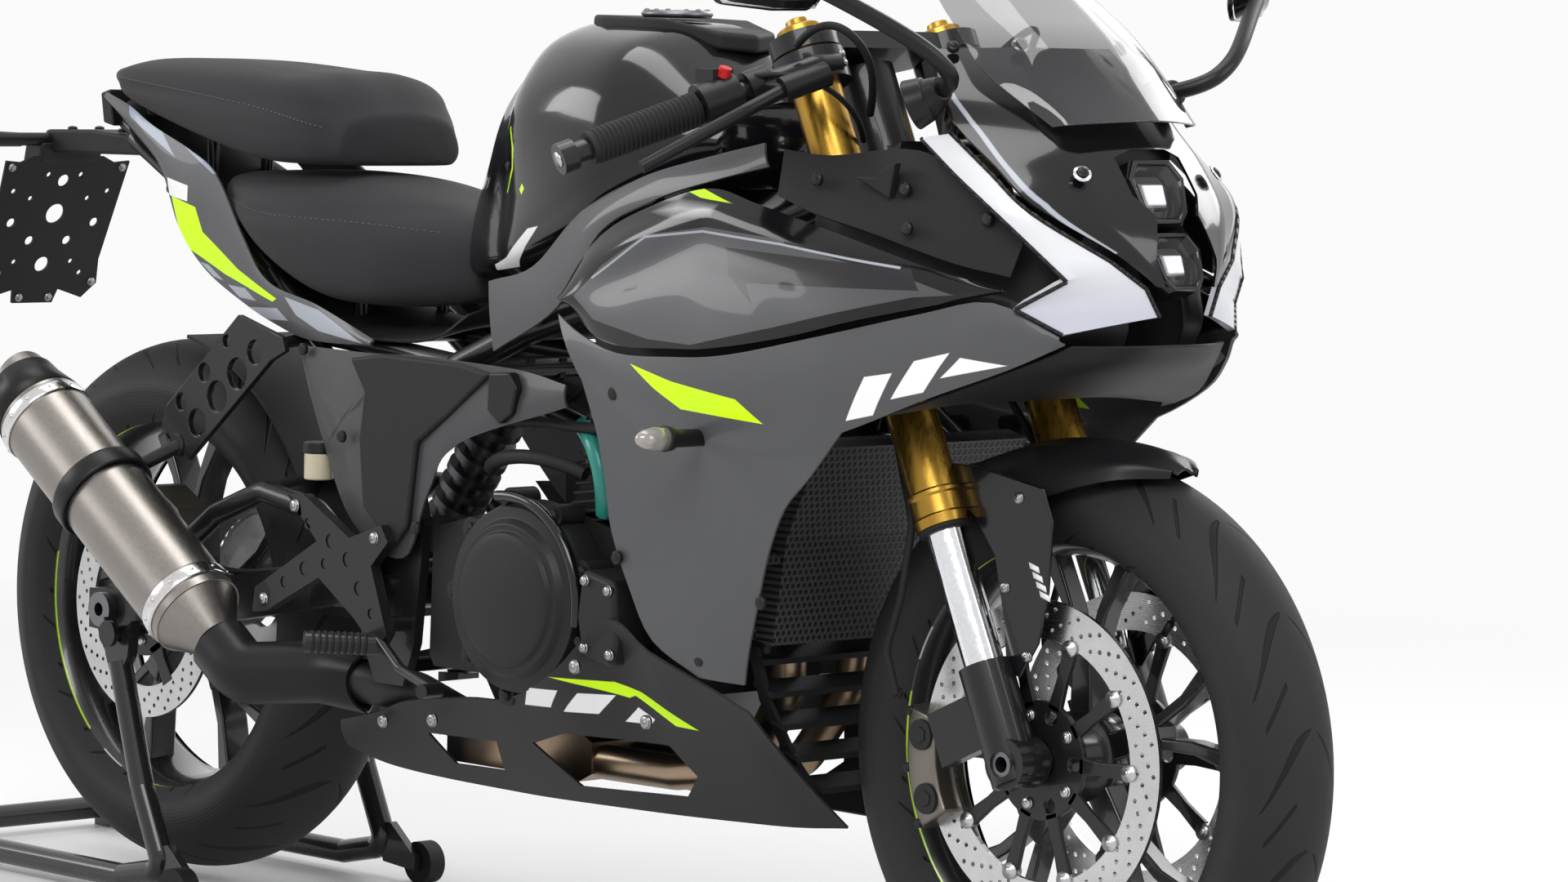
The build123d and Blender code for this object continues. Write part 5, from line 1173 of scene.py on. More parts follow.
def build_belly():
    belly = shell("belly_shell", smoothed(ribs(BELLY, 12, 4.0), 5), BELLY_PAINT, ["belly_pan"], bevel=0)
    carve(belly, BELLY_WINDOWS, -260, 260)
    rounded(belly, 0.8, 50)
    screws("belly_screws", ((-150, -144, 248), (240, -210, 350), (-40, -166, 262), (330, -190, 300)), RIGHT,
           0.0075, 0.003, BOLT_STEEL, both=True)


# ---------------------------------------------------------------- tank and seats
def pod(name, table, paint, node, along, wide, dent, level=0):
    """A closed body through mirrored half ribs, with capped ends."""
    halves = [across([Vector((x, -y, z)) for y, z in profile]) for x, profile in table]
    rows = smoothed(halves, along, wide)
    bm = bmesh.new()
    verts = displaced(add_grid(bm, rows, UP), dent)
    columns = len(rows[0])
    rims = (verts[::columns], verts[columns - 1::columns])
    bmesh.ops.bridge_loops(bm, edges=[bm.edges.get(pair) for rim in rims for pair in zip(rim, rim[1:])])
    bmesh.ops.holes_fill(bm, edges=[e for e in bm.edges if e.is_boundary], sides=0)
    bmesh.ops.recalc_face_normals(bm, faces=bm.faces)
    return piece(name, bm, paint, "bike", [node], level, bevel=0 if level else 3.0, segments=3, angle=60)


def tank_dent(at):
    """Knee hollows low on the tank's flanks and the raised shoulders above them."""
    x, y, z = at
    depth = hump(x, 10, 90) * hump(z, 830, 60) * 15.0
    shoulder = hump(x, 130, 120) * hump(z, 945, 36) * 5.0
    return (0, (shoulder - depth) * max(-1, min(1, y / 60)), 0)


def build_tank():
    pod("tank_shell", TANK, TANK_PAINT, "fuel_tank", 6, 5, tank_dent)

    def add_plate(bm):
        slab(bm, [(60, -40), (96, -58), (196, -62), (262, -40), (276, 0), (262, 40), (196, 62), (96, 58),
                  (60, 40), (50, 0)], 1008, 1028, "z")
        for vert in bm.verts:
            vert.co.z -= max(0.0, vert.co.x - 0.19) * 0.22

    def add_cap(bm):
        turned(bm, [(0.0, 0.0), (0.0, 0.036), (0.004, 0.039), (0.008, 0.036), (0.0085, 0.030),
                    (0.0065, 0.028), (0.0065, 0.0)], (0.150, 0, 1.026), UP)
        for k in range(6):
            turn = k * math.tau / 6
            bolt(bm, (0.150 + 0.033 * math.cos(turn), 0.033 * math.sin(turn), 1.0335), UP, 0.0032, 0.002)

    built("tank_top_plate", add_plate, MATT_BLACK, bevel=5.0, segments=4)
    built("fuel_cap", add_cap, DARK_STEEL)


def seat_pad(name, table, node, seam_z):
    """A foam seat: a padded body, pressed in along the sewn seam of each flank."""
    def press(at):
        x, y, z = at
        return (0, -hump(z, seam_z(x), 7.0) * 2.6 * max(-1, min(1, y / 40)), 0)

    pad = pod(name, table, SEAT, node, 8, 7, press, level=1)
    return pad


def rider_seam(x):
    """The height of the rider's seat seam along the bike."""
    if x < -440:
        return 812
    return 800 if x < -300 else 800 + (x + 300) * 0.06


def passenger_seam(x):
    return 938 - (x + 756) * 0.05


def build_seats():
    """The rider's and the passenger's pads."""
    return (seat_pad("rider_seat_pad", RIDER_SEAT, "rider_seat", rider_seam),
            seat_pad("passenger_seat_pad", PASSENGER_SEAT, "passenger_seat", passenger_seam))


# ---------------------------------------------------------------- nose and screen
LAMP_RECESS = (
    # (y, z) corners, seen from the front
    (47, 898), (47, 862), (30, 842), (36, 826), (44, 800), (34, 770), (22, 752), (-22, 752),
    (-34, 770), (-44, 800), (-36, 826), (-30, 842), (-47, 862), (-47, 898), (-24, 906), (24, 906))
SCREEN_SCREWS = (
    # x, y, z of those with a chrome ring, then of the others
    (727, -70, 1003), (838, -95, 880), (727, 70, 1003), (838, 95, 880),
    (681, -118, 1000), (681, 118, 1000), (778, -86, 955), (778, 86, 955))
RINGED_SCREWS = 4


def build_nose():
    nose = shell("nose_shell", smoothed(wide_rows(NOSE), 7, 7, ridges=(1, 3)), NOSE_PAINT, ["nose_cowl"],
                 (1, 0, 0.4), bevel=0, both=False)
    carve(nose, [LAMP_RECESS], 780, 1000, "x")
    rounded(nose, 0.8, 40)
    shell("screen_sheet", smoothed(wide_rows(SCREEN), 8, 6), SCREEN_CLEAR, ["windscreen"], (1, 0, 1),
          wall=2.2, bevel=0.6, both=False)

    def add_screws(bm):
        for x, y, z in SCREEN_SCREWS:
            out = Vector((0.72, y / 200, 0.66))
            bolt(bm, mm((x, y, z)) + out * 0.0035, out, 0.0065)

    def add_rings(bm):
        for x, y, z in SCREEN_SCREWS[:RINGED_SCREWS]:
            out = Vector((0.72, y / 200, 0.66)).normalized()
            at = mm((x, y, z)) + out * 0.003
            rod(bm, at, at + out * 0.0018, 0.0098, 0.0088, 32)

    built("screen_bolts", add_screws, MID_BLACK)
    built("screen_bolt_rings", add_rings, CHROME)


def build_running_lights():
    rows = smoothed(ribs(RUNNING_LIGHT, 6, 3.0), 5, corners=(3, 4))
    paint = Paint("daylight_lens")
    low = paint.ramp(paint.place()[2], 800.0, 745.0)
    cloud = paint.noise(30.0, 2.0)
    paint.set(colour=paint.mix(low * 0.8 + cloud * 0.1, (0.66, 0.67, 0.69), (0.42, 0.43, 0.50)),
              rough=cloud * 0.06 + 0.16, coat=0.8, coat_rough=0.05)
    shell("daylight_lens", rows, paint.material, ["running_lights"], wall=8.0, bevel=2.0)

    def add(bm):
        for rim in (0, -1):
            edge = [mm(row[rim]) + LEFT * 0.001 for row in rows]
            for a, b in zip(edge, edge[1:]):
                rod(bm, a, b, 0.0022, 0.0022, 8)

    built("daylight_rim", add, MID_BLACK, both=True)


build_side_panels()
build_tank()
SEAT_PADS = build_seats()
build_nose()
build_running_lights()


# ---------------------------------------------------------------- plates with holes
DISC_Y = 68
DISC_THICK = 0.0046
DISC_HOLES = (
    # hole radius, shift along its row
    (0.0026, 0.0),
    (0.0026, 0.34),
    (0.0026, 0.68),
    (0.0024, 0.05),
)


def circle_points(u, v, radius, sides):
    return [(u + radius * math.cos(k * math.tau / sides), v + radius * math.sin(k * math.tau / sides))
            for k in range(sides)]


def holed_plate(bm, loops, low, thick):
    """A plate across Y between closed loops of (u, v) points in metres."""
    edges = []
    fresh = []
    for loop in loops:
        verts = [bm.verts.new((u, low, v)) for u, v in loop]
        fresh += verts
        edges += [bm.edges.new(pair) for pair in zip(verts, verts[1:] + verts[:1])]
    filled = bmesh.ops.triangle_fill(bm, use_beauty=True, use_dissolve=False, edges=edges)["geom"]
    faces = [g for g in filled if isinstance(g, bmesh.types.BMFace)]
    pushed = bmesh.ops.extrude_face_region(bm, geom=faces, use_keep_orig=True)["geom"]
    top = [g for g in pushed if isinstance(g, bmesh.types.BMVert)]
    bmesh.ops.translate(bm, verts=top, vec=(0, thick, 0))
    bmesh.ops.recalc_face_normals(bm, faces=list({f for v in fresh + top for f in v.link_faces}))
    return fresh + top


def pierced(bm, outline, holes, low, high, place=None):
    """A plate between two heights: an outline in (u, v) metres with round holes (u, v, radius).

    The plate lies across the Y axis, with u along X and v along Z, unless place turns it.
    """
    loops = [outline] + [circle_points(u, v, radius, 10 if radius < 0.006 else 20) for u, v, radius in holes]
    verts = holed_plate(bm, loops, low, high - low)
    if place:
        bmesh.ops.transform(bm, matrix=place, verts=verts)


def around(centre, y, radius, degrees):
    """A point round an axle, in metres."""
    turn = math.radians(degrees)
    return Vector((centre.x + radius * math.cos(turn), y, centre.z + radius * math.sin(turn)))


def disc_ring(bm, centre, y, r_out, r_in, hole_r, count):
    """A drilled brake ring, with rows of holes inwards from a radius."""
    loops = [circle_points(centre.x, centre.z, r_out, 96), circle_points(centre.x, centre.z, r_in, 72)]
    for row, (size, shift) in enumerate(DISC_HOLES):
        for k in range(count):
            at = around(centre, 0, hole_r - 0.007 * row, (k + shift) * 360 / count)
            loops.append(circle_points(at.x, at.z, size, 8))
    holed_plate(bm, loops, y - DISC_THICK / 2, DISC_THICK)


def polar_slab(bm, centre, points, low, high):
    """A plate round an axle from (radius, degrees) corners in millimetres."""
    outline = []
    for radius, degrees in points:
        at = around(centre, 0, radius * MM, degrees)
        outline.append((at.x / MM, at.z / MM))
    slab(bm, outline, low, high)


# ---------------------------------------------------------------- wheels
BEAD_R = 0.2145


def tyre_profile(radius, half_width, bead_half):
    """Points (y, radius) round a tyre's section, in metres, from bead to bead."""
    wall = [(-bead_half, BEAD_R), (-bead_half - 0.006, 0.222), (-half_width * 0.93, 0.232)]
    drop = 0.052 * half_width / 0.060
    end = math.radians(84)
    leans = [(k / 16 - 1) * end for k in range(33)]
    tread = [(half_width * math.sin(lean) / math.sin(end), radius - (1 - math.cos(lean)) * drop)
             for lean in leans]
    return wall + tread + [(-y, r) for y, r in reversed(wall)]


def build_tyre(name, centre, radius, half_width, bead_half, paint, body, node):
    profile = tyre_profile(radius, half_width, bead_half)
    turnings(name, [(profile, centre, LEFT, 144, (1, 0, 0))], paint, body, [node])


SPOKE_STEM = (
    # (radius, degrees from the spoke's middle) corners
    (34, -26), (60, -14), (100, -7.6), (112, -8.4), (112, 8.4), (100, 7.6), (60, 14), (34, 26))
SPOKE_BLADE = ((96, 0.5), (100, 8.4), (150, 11.6), (207, 17.6), (207, 11.8), (150, 6.4))


def build_rim(name, centre, half, paint, body, node, hub_half, spoke_y, depth):
    """A rim with its hub, five forked spokes and a valve; spoke places in millimetres."""
    flange = [(-half + 0.004, 0.2275), (-half, 0.226), (-half, 0.2215), (-half + 0.006, BEAD_R)]
    barrel = [*flange[1:], (-half * 0.55, 0.203), (0.0, 0.200), (half * 0.55, 0.203),
              *((-y, r) for y, r in reversed(flange)), (half - 0.010, 0.218), (half * 0.5, 0.209),
              (0.0, 0.206), (-half * 0.5, 0.209), (-half + 0.010, 0.218), *flange[:2]]
    boss = [(-hub_half, 0.0), (-hub_half, 0.024), (-hub_half + 0.004, 0.030), (-0.022, 0.036),
            (-0.018, 0.046)]
    hub = boss + [(-y, r) for y, r in reversed(boss)]
    turnings(name + "_barrel", [(barrel, centre, LEFT, 120, (1, 0, 0)), (hub, centre, LEFT, 48, (1, 0, 0))],
             paint, body, [node])
    low, high = spoke_y - depth, spoke_y + depth

    def add_spokes(bm):
        for k in range(5):
            turn = 18 + k * 72
            polar_slab(bm, centre, [(radius, turn + t) for radius, t in SPOKE_STEM], low, high)
            for side, _ in SIDES:
                blade = [(radius, turn + side * t) for radius, t in SPOKE_BLADE]
                polar_slab(bm, centre, blade, low + 3, high - 3)

    def add_valve(bm):
        for foot, end, r_foot, r_end in ((0.198, 0.170, 0.0034, 0.0028), (0.176, 0.160, 0.0044, 0.0040)):
            rod(bm, around(centre, 0.004, foot, 54), around(centre, 0.004, end, 54), r_foot, r_end, 12)

    built(name + "_spokes", add_spokes, paint, body, bevel=3.4, segments=3, angle=28)
    built(name + "_valve", add_valve, MID_BLACK, body)


def add_carrier(bm, centre, plate_r, holes, low, high, count, arm):
    """A disc carrier: a pierced plate and its arms of (radius, degrees) corners."""
    pierced(bm, circle_points(centre.x, centre.z, plate_r, 48), holes, low * MM, high * MM)
    for k in range(count):
        polar_slab(bm, centre, [(radius, k * 360 / count + turn) for radius, turn in arm], low, high)


def build_front_brakes():
    holes = [(*around(FRONT_AXLE, 0, 0.046, 72 * k).xz, 0.0075) for k in range(5)]
    holes.append((FRONT_AXLE.x, FRONT_AXLE.z, 0.020))
    arm = [(54, -9), (84, -4.5), (117, -4.2), (117, 4.2), (84, 4.5), (54, 9)]

    def add_rings(bm):
        for side, _ in SIDES:
            disc_ring(bm, FRONT_AXLE, side * DISC_Y * MM, 0.160, 0.1215, 0.152, 30)

    def add_carriers(bm):
        for side, _ in SIDES:
            add_carrier(bm, FRONT_AXLE, 0.060, holes, side * DISC_Y - 3, side * DISC_Y + 3, 10, arm)

    def add_bobbins(bm):
        for side, _ in SIDES:
            for k in range(10):
                at = around(FRONT_AXLE, side * DISC_Y * MM, 0.1205, 36 * k)
                rod(bm, at + RIGHT * 0.0056, at + LEFT * 0.0056, 0.0085)
                rod(bm, at + RIGHT * 0.0066, at + LEFT * 0.0066, 0.0048, sides=16)
            for k in range(5):
                bolt(bm, around(FRONT_AXLE, side * 0.0712, 0.046, 72 * k + 36), LEFT * side, 0.0062, 0.004)

    built("front_disc_rings", add_rings, DISC_FRONT, "front_wheel", ["front_brake_discs"], smooth=False)
    built("front_disc_carriers", add_carriers, FRAME_BLACK, "front_wheel", bevel=1.2)
    built("front_disc_bobbins", add_bobbins, STEEL, "front_wheel")


def front_caliper(side, label):
    """A radial caliper over the disc's trailing edge."""
    y_in, y_out = side * 0.050, side * 0.094
    section = [(y_in, 0.124), (y_out, 0.124), (y_out, 0.160), (side * 0.086, 0.171), (side * 0.056, 0.171),
               (y_in, 0.160)]

    def add_body(bm):
        face = bm.faces.new([bm.verts.new(around(FRONT_AXLE, y, radius, 166)) for y, radius in section])
        bmesh.ops.spin(bm, geom=[face], cent=FRONT_AXLE, axis=RIGHT, angle=math.radians(44), steps=8,
                       use_merge=False, use_duplicate=False)
        bmesh.ops.recalc_face_normals(bm, faces=bm.faces)

    def add_caps(bm):
        for turn in (175, 201):
            at = around(FRONT_AXLE, y_out, 0.143, turn)
            rod(bm, at - LEFT * side * 0.004, at + LEFT * side * 0.003, 0.0165, 0.0155, 32)
            rod(bm, at, at + LEFT * side * 0.0042, 0.0090, 0.0085, 6)
        for turn in (168, 188, 208):
            bolt(bm, around(FRONT_AXLE, side * 0.090, 0.166, turn), LEFT * side, 0.0050, 0.004)

    caliper = built(f"front_caliper_{label}", add_body, CALIPER, "steering", bevel=4.5, segments=3, angle=40)
    built(f"caliper_caps_{label}", add_caps, DARK_ALLOY, "steering", bevel=0.8)
    return caliper


def build_wheels():
    build_tyre("front_tyre_tread", FRONT_AXLE, FRONT_TYRE_R, 0.060, 0.044, TYRE_FRONT, "front_wheel",
               "front_tyre")
    build_tyre("rear_tyre_tread", REAR_AXLE, REAR_TYRE_R, 0.080, 0.060, TYRE_REAR, "rear_wheel", "rear_tyre")
    build_rim("front_rim", FRONT_AXLE, 0.046, RIM_FRONT, "front_wheel", "front_wheel_rim", 0.062, 0, 15)
    build_rim("rear_rim", REAR_AXLE, 0.062, RIM_REAR, "rear_wheel", "rear_wheel_rim", 0.080, -8, 22)
    build_front_brakes()
    right, _ = [front_caliper(side, label) for side, label in SIDES]
    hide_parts("front_calipers")
    centre = [(REAR_AXLE.x, REAR_AXLE.z, 0.022)]
    arm = [(50, -16), (70, -7), (99, -6), (99, 6), (70, 7), (50, 16)]

    def add_bolts(bm):
        for k in range(6):
            bolt(bm, around(REAR_AXLE, -0.090, 0.040, 60 * k + 30), RIGHT, 0.0062, 0.004)

    built("rear_disc_ring", lambda bm: disc_ring(bm, REAR_AXLE, -0.087, 0.130, 0.094, 0.124, 26), DISC_REAR,
          "rear_wheel", ["rear_brake_disc"], smooth=False)
    built("rear_disc_carrier", lambda bm: add_carrier(bm, REAR_AXLE, 0.058, centre, -90, -84, 6, arm),
          FRAME_BLACK, "rear_wheel", bevel=1.2)
    built("rear_disc_bolts", add_bolts, STEEL, "rear_wheel")


# ---------------------------------------------------------------- front mudguard and fork details
FENDER_ROWS = [
    # (x, z) on the middle line, then half width and height of the shoulder, and of the lower edge
    ((898, 596), (10, 592), (20, 586)),
    ((862, 611), (34, 604), (56, 584)),
    ((820, 617), (44, 609), (73, 574)),
    ((778, 618), (48, 610), (80, 562)),
    ((730, 614), (50, 606), (86, 556)),
    ((690, 604), (50, 596), (88, 562)),
    ((656, 594), (44, 586), (84, 570)),
]


FENDER_FACE = -90.5


def build_fender():
    rows = []
    for (x, z), (y1, z1), (y2, z2) in FENDER_ROWS:
        rows.append(across([Vector((x - 2, -y2, z2)), Vector((x, -(y1 + y2) / 2 - 4, (z1 + z2) / 2 + 5)),
                            Vector((x, -y1, z1)), Vector((x, 0, z))]))
    shell("front_mudguard", smoothed(rows, 6, 5, ridges=(2, 4)), MID_BLACK, ["front_fender"], UP, bevel=0.9,
          both=False, body="steering")
    blade = [(654, 588), (700, 588), (792, 572), (806, 540), (802, 470), (790, 418), (766, 382), (748, 388),
             (742, 440), (728, 500), (700, 536), (664, 560)]
    dash = [(0, 0), (13, -4), (15, -10), (2, -6)]
    dashes = [([(776 + k * 5 + u, 498 - k * 9 + v) for u, v in dash], FENDER_FACE - 0.7, FENDER_FACE + 0.3)
              for k in range(4)]
    plates("mudguard_sides", [(blade, FENDER_FACE, FENDER_FACE + 4)], GLOSS_BLACK, "steering", both=True,
           bevel=1.6, segments=3, angle=30)
    screws("mudguard_screws", [(x, FENDER_FACE, z) for x, z in ((760, 560), (776, 404), (744, 470))], RIGHT,
           0.006, 0.003, BOLT_STEEL, "steering", both=True)
    plates("mudguard_dashes", dashes, plain_paint("print_white", WHITE, 0.4, spread=0.04), "steering",
           both=True)


FORK_TURNINGS = (
    # name, finish, height up the axis, steps, edge rounding, profile
    ("fork_lower_collars", GOLD, 0.233, 48, 0.5,
     ((0, 0.0210), (0, 0.0285), (0.010, 0.0292), (0.012, 0.0272), (0.030, 0.0272), (0.032, 0.0290),
      (0.036, 0.0290), (0.038, 0.0262))),
    ("fork_wipers", RUBBER, 0.228, 48, 0.0,
     ((0, 0.0208), (0, 0.0262), (0.006, 0.0272), (0.0075, 0.0208))),
    ("fork_caps", GOLD, 0.768, 36, 0.5,
     ((0, 0.0), (0, 0.024), (0.005, 0.024), (0.007, 0.021), (0.007, 0.013), (0.015, 0.012), (0.016, 0.010),
      (0.016, 0.0))),
)


def build_fork_details():
    for name, paint, height, steps, bevel, profile in FORK_TURNINGS:
        rows = [(profile, steer(FORK_OFFSET, side * FORK_HALF, height), AXIS_DIR, steps) for side, _ in SIDES]
        turnings(name, rows, paint, "steering", bevel=bevel)
    nut = steer(0, 0, 0.772)
    built("stem_nut", lambda bm: rod(bm, nut, nut + AXIS_DIR * 0.008, 0.016, 0.015, 6), STEEL, "steering",
          bevel=1.0)
    spots = [steer(FORK_OFFSET + 0.034, side * (FORK_HALF - 0.012), w) / MM
             for side, _ in SIDES for w in (0.47, 0.483, 0.722, 0.732)]
    screws("clamp_bolts", spots, AXIS_FORWARD, 0.0045, 0.004, BOLT_STEEL, "steering")


# ---------------------------------------------------------------- exhaust
MUFFLER_AXIS = (MUFFLER_REAR - MUFFLER_FRONT).normalized()
MUFFLER_LENGTH = (MUFFLER_REAR - MUFFLER_FRONT).length
MUFFLER_STRAP = MUFFLER_FRONT + MUFFLER_AXIS * 0.205


def build_silencer_trim():
    axis = MUFFLER_AXIS
    bands = []
    for at, width in ((0.012, 0.018), (MUFFLER_LENGTH - 0.022, 0.016)):
        bands.append(([(0, 0.0532), (0, 0.0546), (0.002, 0.0556), (width - 0.002, 0.0556), (width, 0.0546),
                       (width, 0.0532)], MUFFLER_FRONT + axis * at, axis, 96))

    def add_rivets(bm):
        side = axis.orthogonal().normalized()
        for at in (0.021, MUFFLER_LENGTH - 0.014):
            for k in range(12):
                out = Matrix.Rotation(k * math.tau / 12, 3, axis) @ side
                spot = MUFFLER_FRONT + axis * at + out * 0.0556
                rod(bm, spot - out * 0.001, spot + out * 0.0012, 0.0026, 0.0018, 10)

    def add_tip(bm):
        turned(bm, [(0.0, 0.054), (0.030, 0.047), (0.048, 0.045), (0.050, 0.043), (0.048, 0.0405),
                    (0.020, 0.036), (0.010, 0.030), (0.004, 0.028)], MUFFLER_REAR, axis, 72)
        bmesh.ops.bisect_plane(bm, geom=bm.verts[:] + bm.edges[:] + bm.faces[:],
                               plane_co=MUFFLER_REAR + axis * 0.042,
                               plane_no=Vector((-0.86, 0.0, 0.30)).normalized(), clear_outer=True)

    outlet = [(-0.02, 0.0), (-0.02, 0.024), (0.018, 0.026), (0.020, 0.024), (0.016, 0.021), (-0.010, 0.020),
              (-0.010, 0.0)]
    strap = [(0, 0.0535), (0, 0.0585), (0.003, 0.0595), (0.021, 0.0595), (0.024, 0.0585), (0.024, 0.0535)]
    turnings("silencer_bands", bands, POLISHED)
    built("silencer_rivets", add_rivets, STEEL)
    built("silencer_tip", add_tip, MID_BLACK, wall=1.5)
    turnings("silencer_outlet", [(outlet, MUFFLER_REAR + axis * 0.012, axis, 48)], DARK_STEEL)
    turnings("silencer_strap", [(strap, MUFFLER_STRAP, axis, 72)], MID_BLACK)


# ---------------------------------------------------------------- engine
HOSES = (
    # name, radius in metres, finish, sides, points
    ("coolant_hose_low", 0.014, RUBBER, 20,
     ((262, -150, 440), (300, -168, 500), (350, -160, 550), (430, -140, 575))),
    ("coolant_hose_high", 0.011, TEAL, 18,
     ((150, -122, 592), (186, -146, 588), (212, -152, 560), (216, -150, 528), (206, -140, 505))),
    ("breather_hose", 0.008, RUBBER, 16,
     ((20, -140, 540), (60, -168, 560), (130, -165, 566), (185, -150, 545))),
)


def build_engine():
    low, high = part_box("engine_covers")
    centre = Vector((0.116, 0, 0.409))
    face = low.y / MM + 6

    def add_bosses(bm):
        for k in range(9):
            at = around(centre, low.y + 0.026, 0.106, 20 + 40 * k)
            rod(bm, at, at + LEFT * 0.034, 0.0125, 0.0125, 20)
            bolt(bm, at, RIGHT, 0.0065, 0.006)

    def add_alternator(bm):
        middle = Vector((0.150, high.y, 0.400))
        turned(bm, [(0.0, 0.0), (0.0, 0.050), (0.006, 0.060), (0.010, 0.078), (0.022, 0.082), (0.055, 0.082),
                    (0.055, 0.0)], middle, RIGHT, 80)
        turned(bm, [(0.0, 0.0), (0.0, 0.030), (0.006, 0.036), (0.040, 0.036), (0.040, 0.0)],
               Vector((-0.020, high.y - 0.006, 0.386)), RIGHT, 48)
        for k in range(8):
            at = around(middle, high.y - 0.014, 0.078, 45 * k)
            rod(bm, at, at + RIGHT * 0.03, 0.010, 0.010, 16)

    clutch = [(0.0, 0.0), (0.0, 0.062), (0.002, 0.070), (0.0065, 0.073), (0.007, 0.080), (0.014, 0.086),
              (0.016, 0.098), (0.030, 0.103), (0.034, 0.104), (0.060, 0.104), (0.060, 0.0)]
    turnings("clutch_cover", [(clutch, centre + LEFT * low.y, LEFT, 96)], DARK_ALLOY, "bike",
             ["engine_covers"], bevel=1.2, angle=25)
    built("clutch_cover_bosses", add_bosses, DARK_ALLOY, bevel=0.8)
    hose("clutch_ring", [around(centre, low.y + 0.010, 0.110, turn) for turn in range(-10, 101, 10)], 0.0062,
         GLOSS_BLACK, "bike", 16)
    plates("water_pump_cover", [([(236, 452), (286, 442), (294, 380), (284, 352), (238, 360), (228, 400)],
                                 face, face + 54)], DARK_ALLOY, bevel=7.0, segments=4, angle=30)
    screws("pump_cover_bolts", [(x, face, z) for x, z in ((244, 440), (280, 432), (284, 366), (244, 370))],
           RIGHT, 0.0058, 0.005, BOLT_STEEL)
    built("alternator_cover", add_alternator, DARK_ALLOY, bevel=1.4, angle=25)
    for name, radius, paint, sides, points in HOSES:
        hose(name, [mm(point) for point in points], radius, paint, "bike", sides)


def build_radiator_mesh():
    paint = Paint("radiator_honeycomb")
    _, y, z = paint.place()
    row = z * (1 / 7.0)
    shift = paint.math("FRACT", paint.math("FLOOR", row) * 0.5)
    hole_y = (paint.math("FRACT", y * (1 / 8.0) + shift) - 0.5) * 8.0
    hole_z = (paint.math("FRACT", row) - 0.5) * 7.0
    reach = (hole_y * hole_y + hole_z * hole_z).power(0.5)
    web = reach.step(2.6, 0.7)
    # the cells are painted near black between grey webs: painted shade inside the honeycomb, with the bump
    # giving the webs
    paint.set(colour=paint.mix(web, (0.003, 0.003, 0.003), (0.050, 0.050, 0.052)), rough=0.5, metal=0.2)
    paint.bump(web, 0.9, 0.002)
    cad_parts["radiator"].data.materials[0] = paint.material


# ---------------------------------------------------------------- lamps and cockpit
LAMP_SHAPE = ((-38, 14), (-25, 33), (25, 33), (38, 14), (31, -19), (19, -32), (-19, -32), (-31, -19))
LAMP_BOX = ((-1, 1), (1, 1), (0.86, -1), (-0.86, -1))
LAMP_OUT = Vector((0.92, 0, 0.39)).normalized()
LAMP_UP = Vector((-LAMP_OUT.z, 0, LAMP_OUT.x))
LAMP_PARTS = (
    # name, outline, then (width, height, rise in mm) of each ring outwards
    ("bezel", LAMP_SHAPE, ((1.0, 1.0, -24), (1.0, 1.0, 1), (0.96, 0.96, 4), (0.86, 0.86, 4), (0.80, 0.80, 1),
                           (0.66, 0.62, -12))),
    ("glass", LAMP_SHAPE, ((0.83, 0.83, 0.5), (0.83, 0.83, 2.2), (0.74, 0.74, 3.2))),
    ("frame", LAMP_BOX, ((16.5, 12.5, -11.5), (16.5, 12.5, -6.0))),
    ("core", LAMP_BOX, ((14.0, 10.0, -9.0), (14.0, 10.0, -3.5))),
)


def add_lamp_part(bm, outline, rings):
    """One part of both lamps: rings of the outline joined up, closed in front and, if a box, behind."""
    for z, x, size in ((863, 852, 1.06), (796, 880, 0.94)):
        loops = []
        for wide, tall, rise in rings:
            loops.append([bm.verts.new(mm((x, 0, z)) + (LEFT * (u * wide * size) + LAMP_UP * (v * tall * size)
                                                        + LAMP_OUT * rise) * MM) for u, v in outline])
        for a, b in zip(loops, loops[1:]):
            for k in range(len(outline)):
                j = (k + 1) % len(outline)
                bm.faces.new((a[k], a[j], b[j], b[k]))
        bm.faces.new(loops[-1])
        if outline is LAMP_BOX:
            bm.faces.new(loops[0][::-1])
    bmesh.ops.recalc_face_normals(bm, faces=bm.faces)


def build_lamps():
    recess = [(52, 904), (52, 846), (38, 826), (50, 802), (38, 752), (-38, 752), (-50, 802), (-38, 826),
              (-52, 846), (-52, 904), (-26, 912), (26, 912)]
    plates("lamp_recess", [(recess, 792, 820, "x")], MID_BLACK, "bike", ["headlamp_housing"], bevel=2.0)
    clear = Paint("lamp_glass")
    haze = clear.noise(20.0, 2.0)
    clear.set(colour=clear.mix(haze, (0.05, 0.052, 0.056), (0.08, 0.082, 0.086)), rough=0.03,
              alpha=haze * 0.05 + 0.16, coat=1.0, coat_rough=0.02)
    bright = Paint("lamp_core")
    spread = bright.noise(60.0, 1.0)
    bright.set(colour=bright.mix(spread, (0.85, 0.86, 0.90), (0.98, 0.98, 1.0)), rough=0.2,
               glow=(0.9, 0.92, 1.0), glow_strength=0.25)
    parts = {}
    for label, outline, rings in LAMP_PARTS:
        parts[label] = bmesh.new()
        add_lamp_part(parts[label], outline, rings)
    piece("lamp_bezels", parts["bezel"], GLOSS_BLACK, bevel=1.0, angle=30)
    piece("lamp_frames", parts["frame"], DARK_STEEL, bevel=1.5, segments=3)
    piece("lamp_lenses", parts["glass"], clear.material, "bike", ["headlamp_lenses"])
    piece("lamp_cores", parts["core"], bright.material, bevel=1.5)


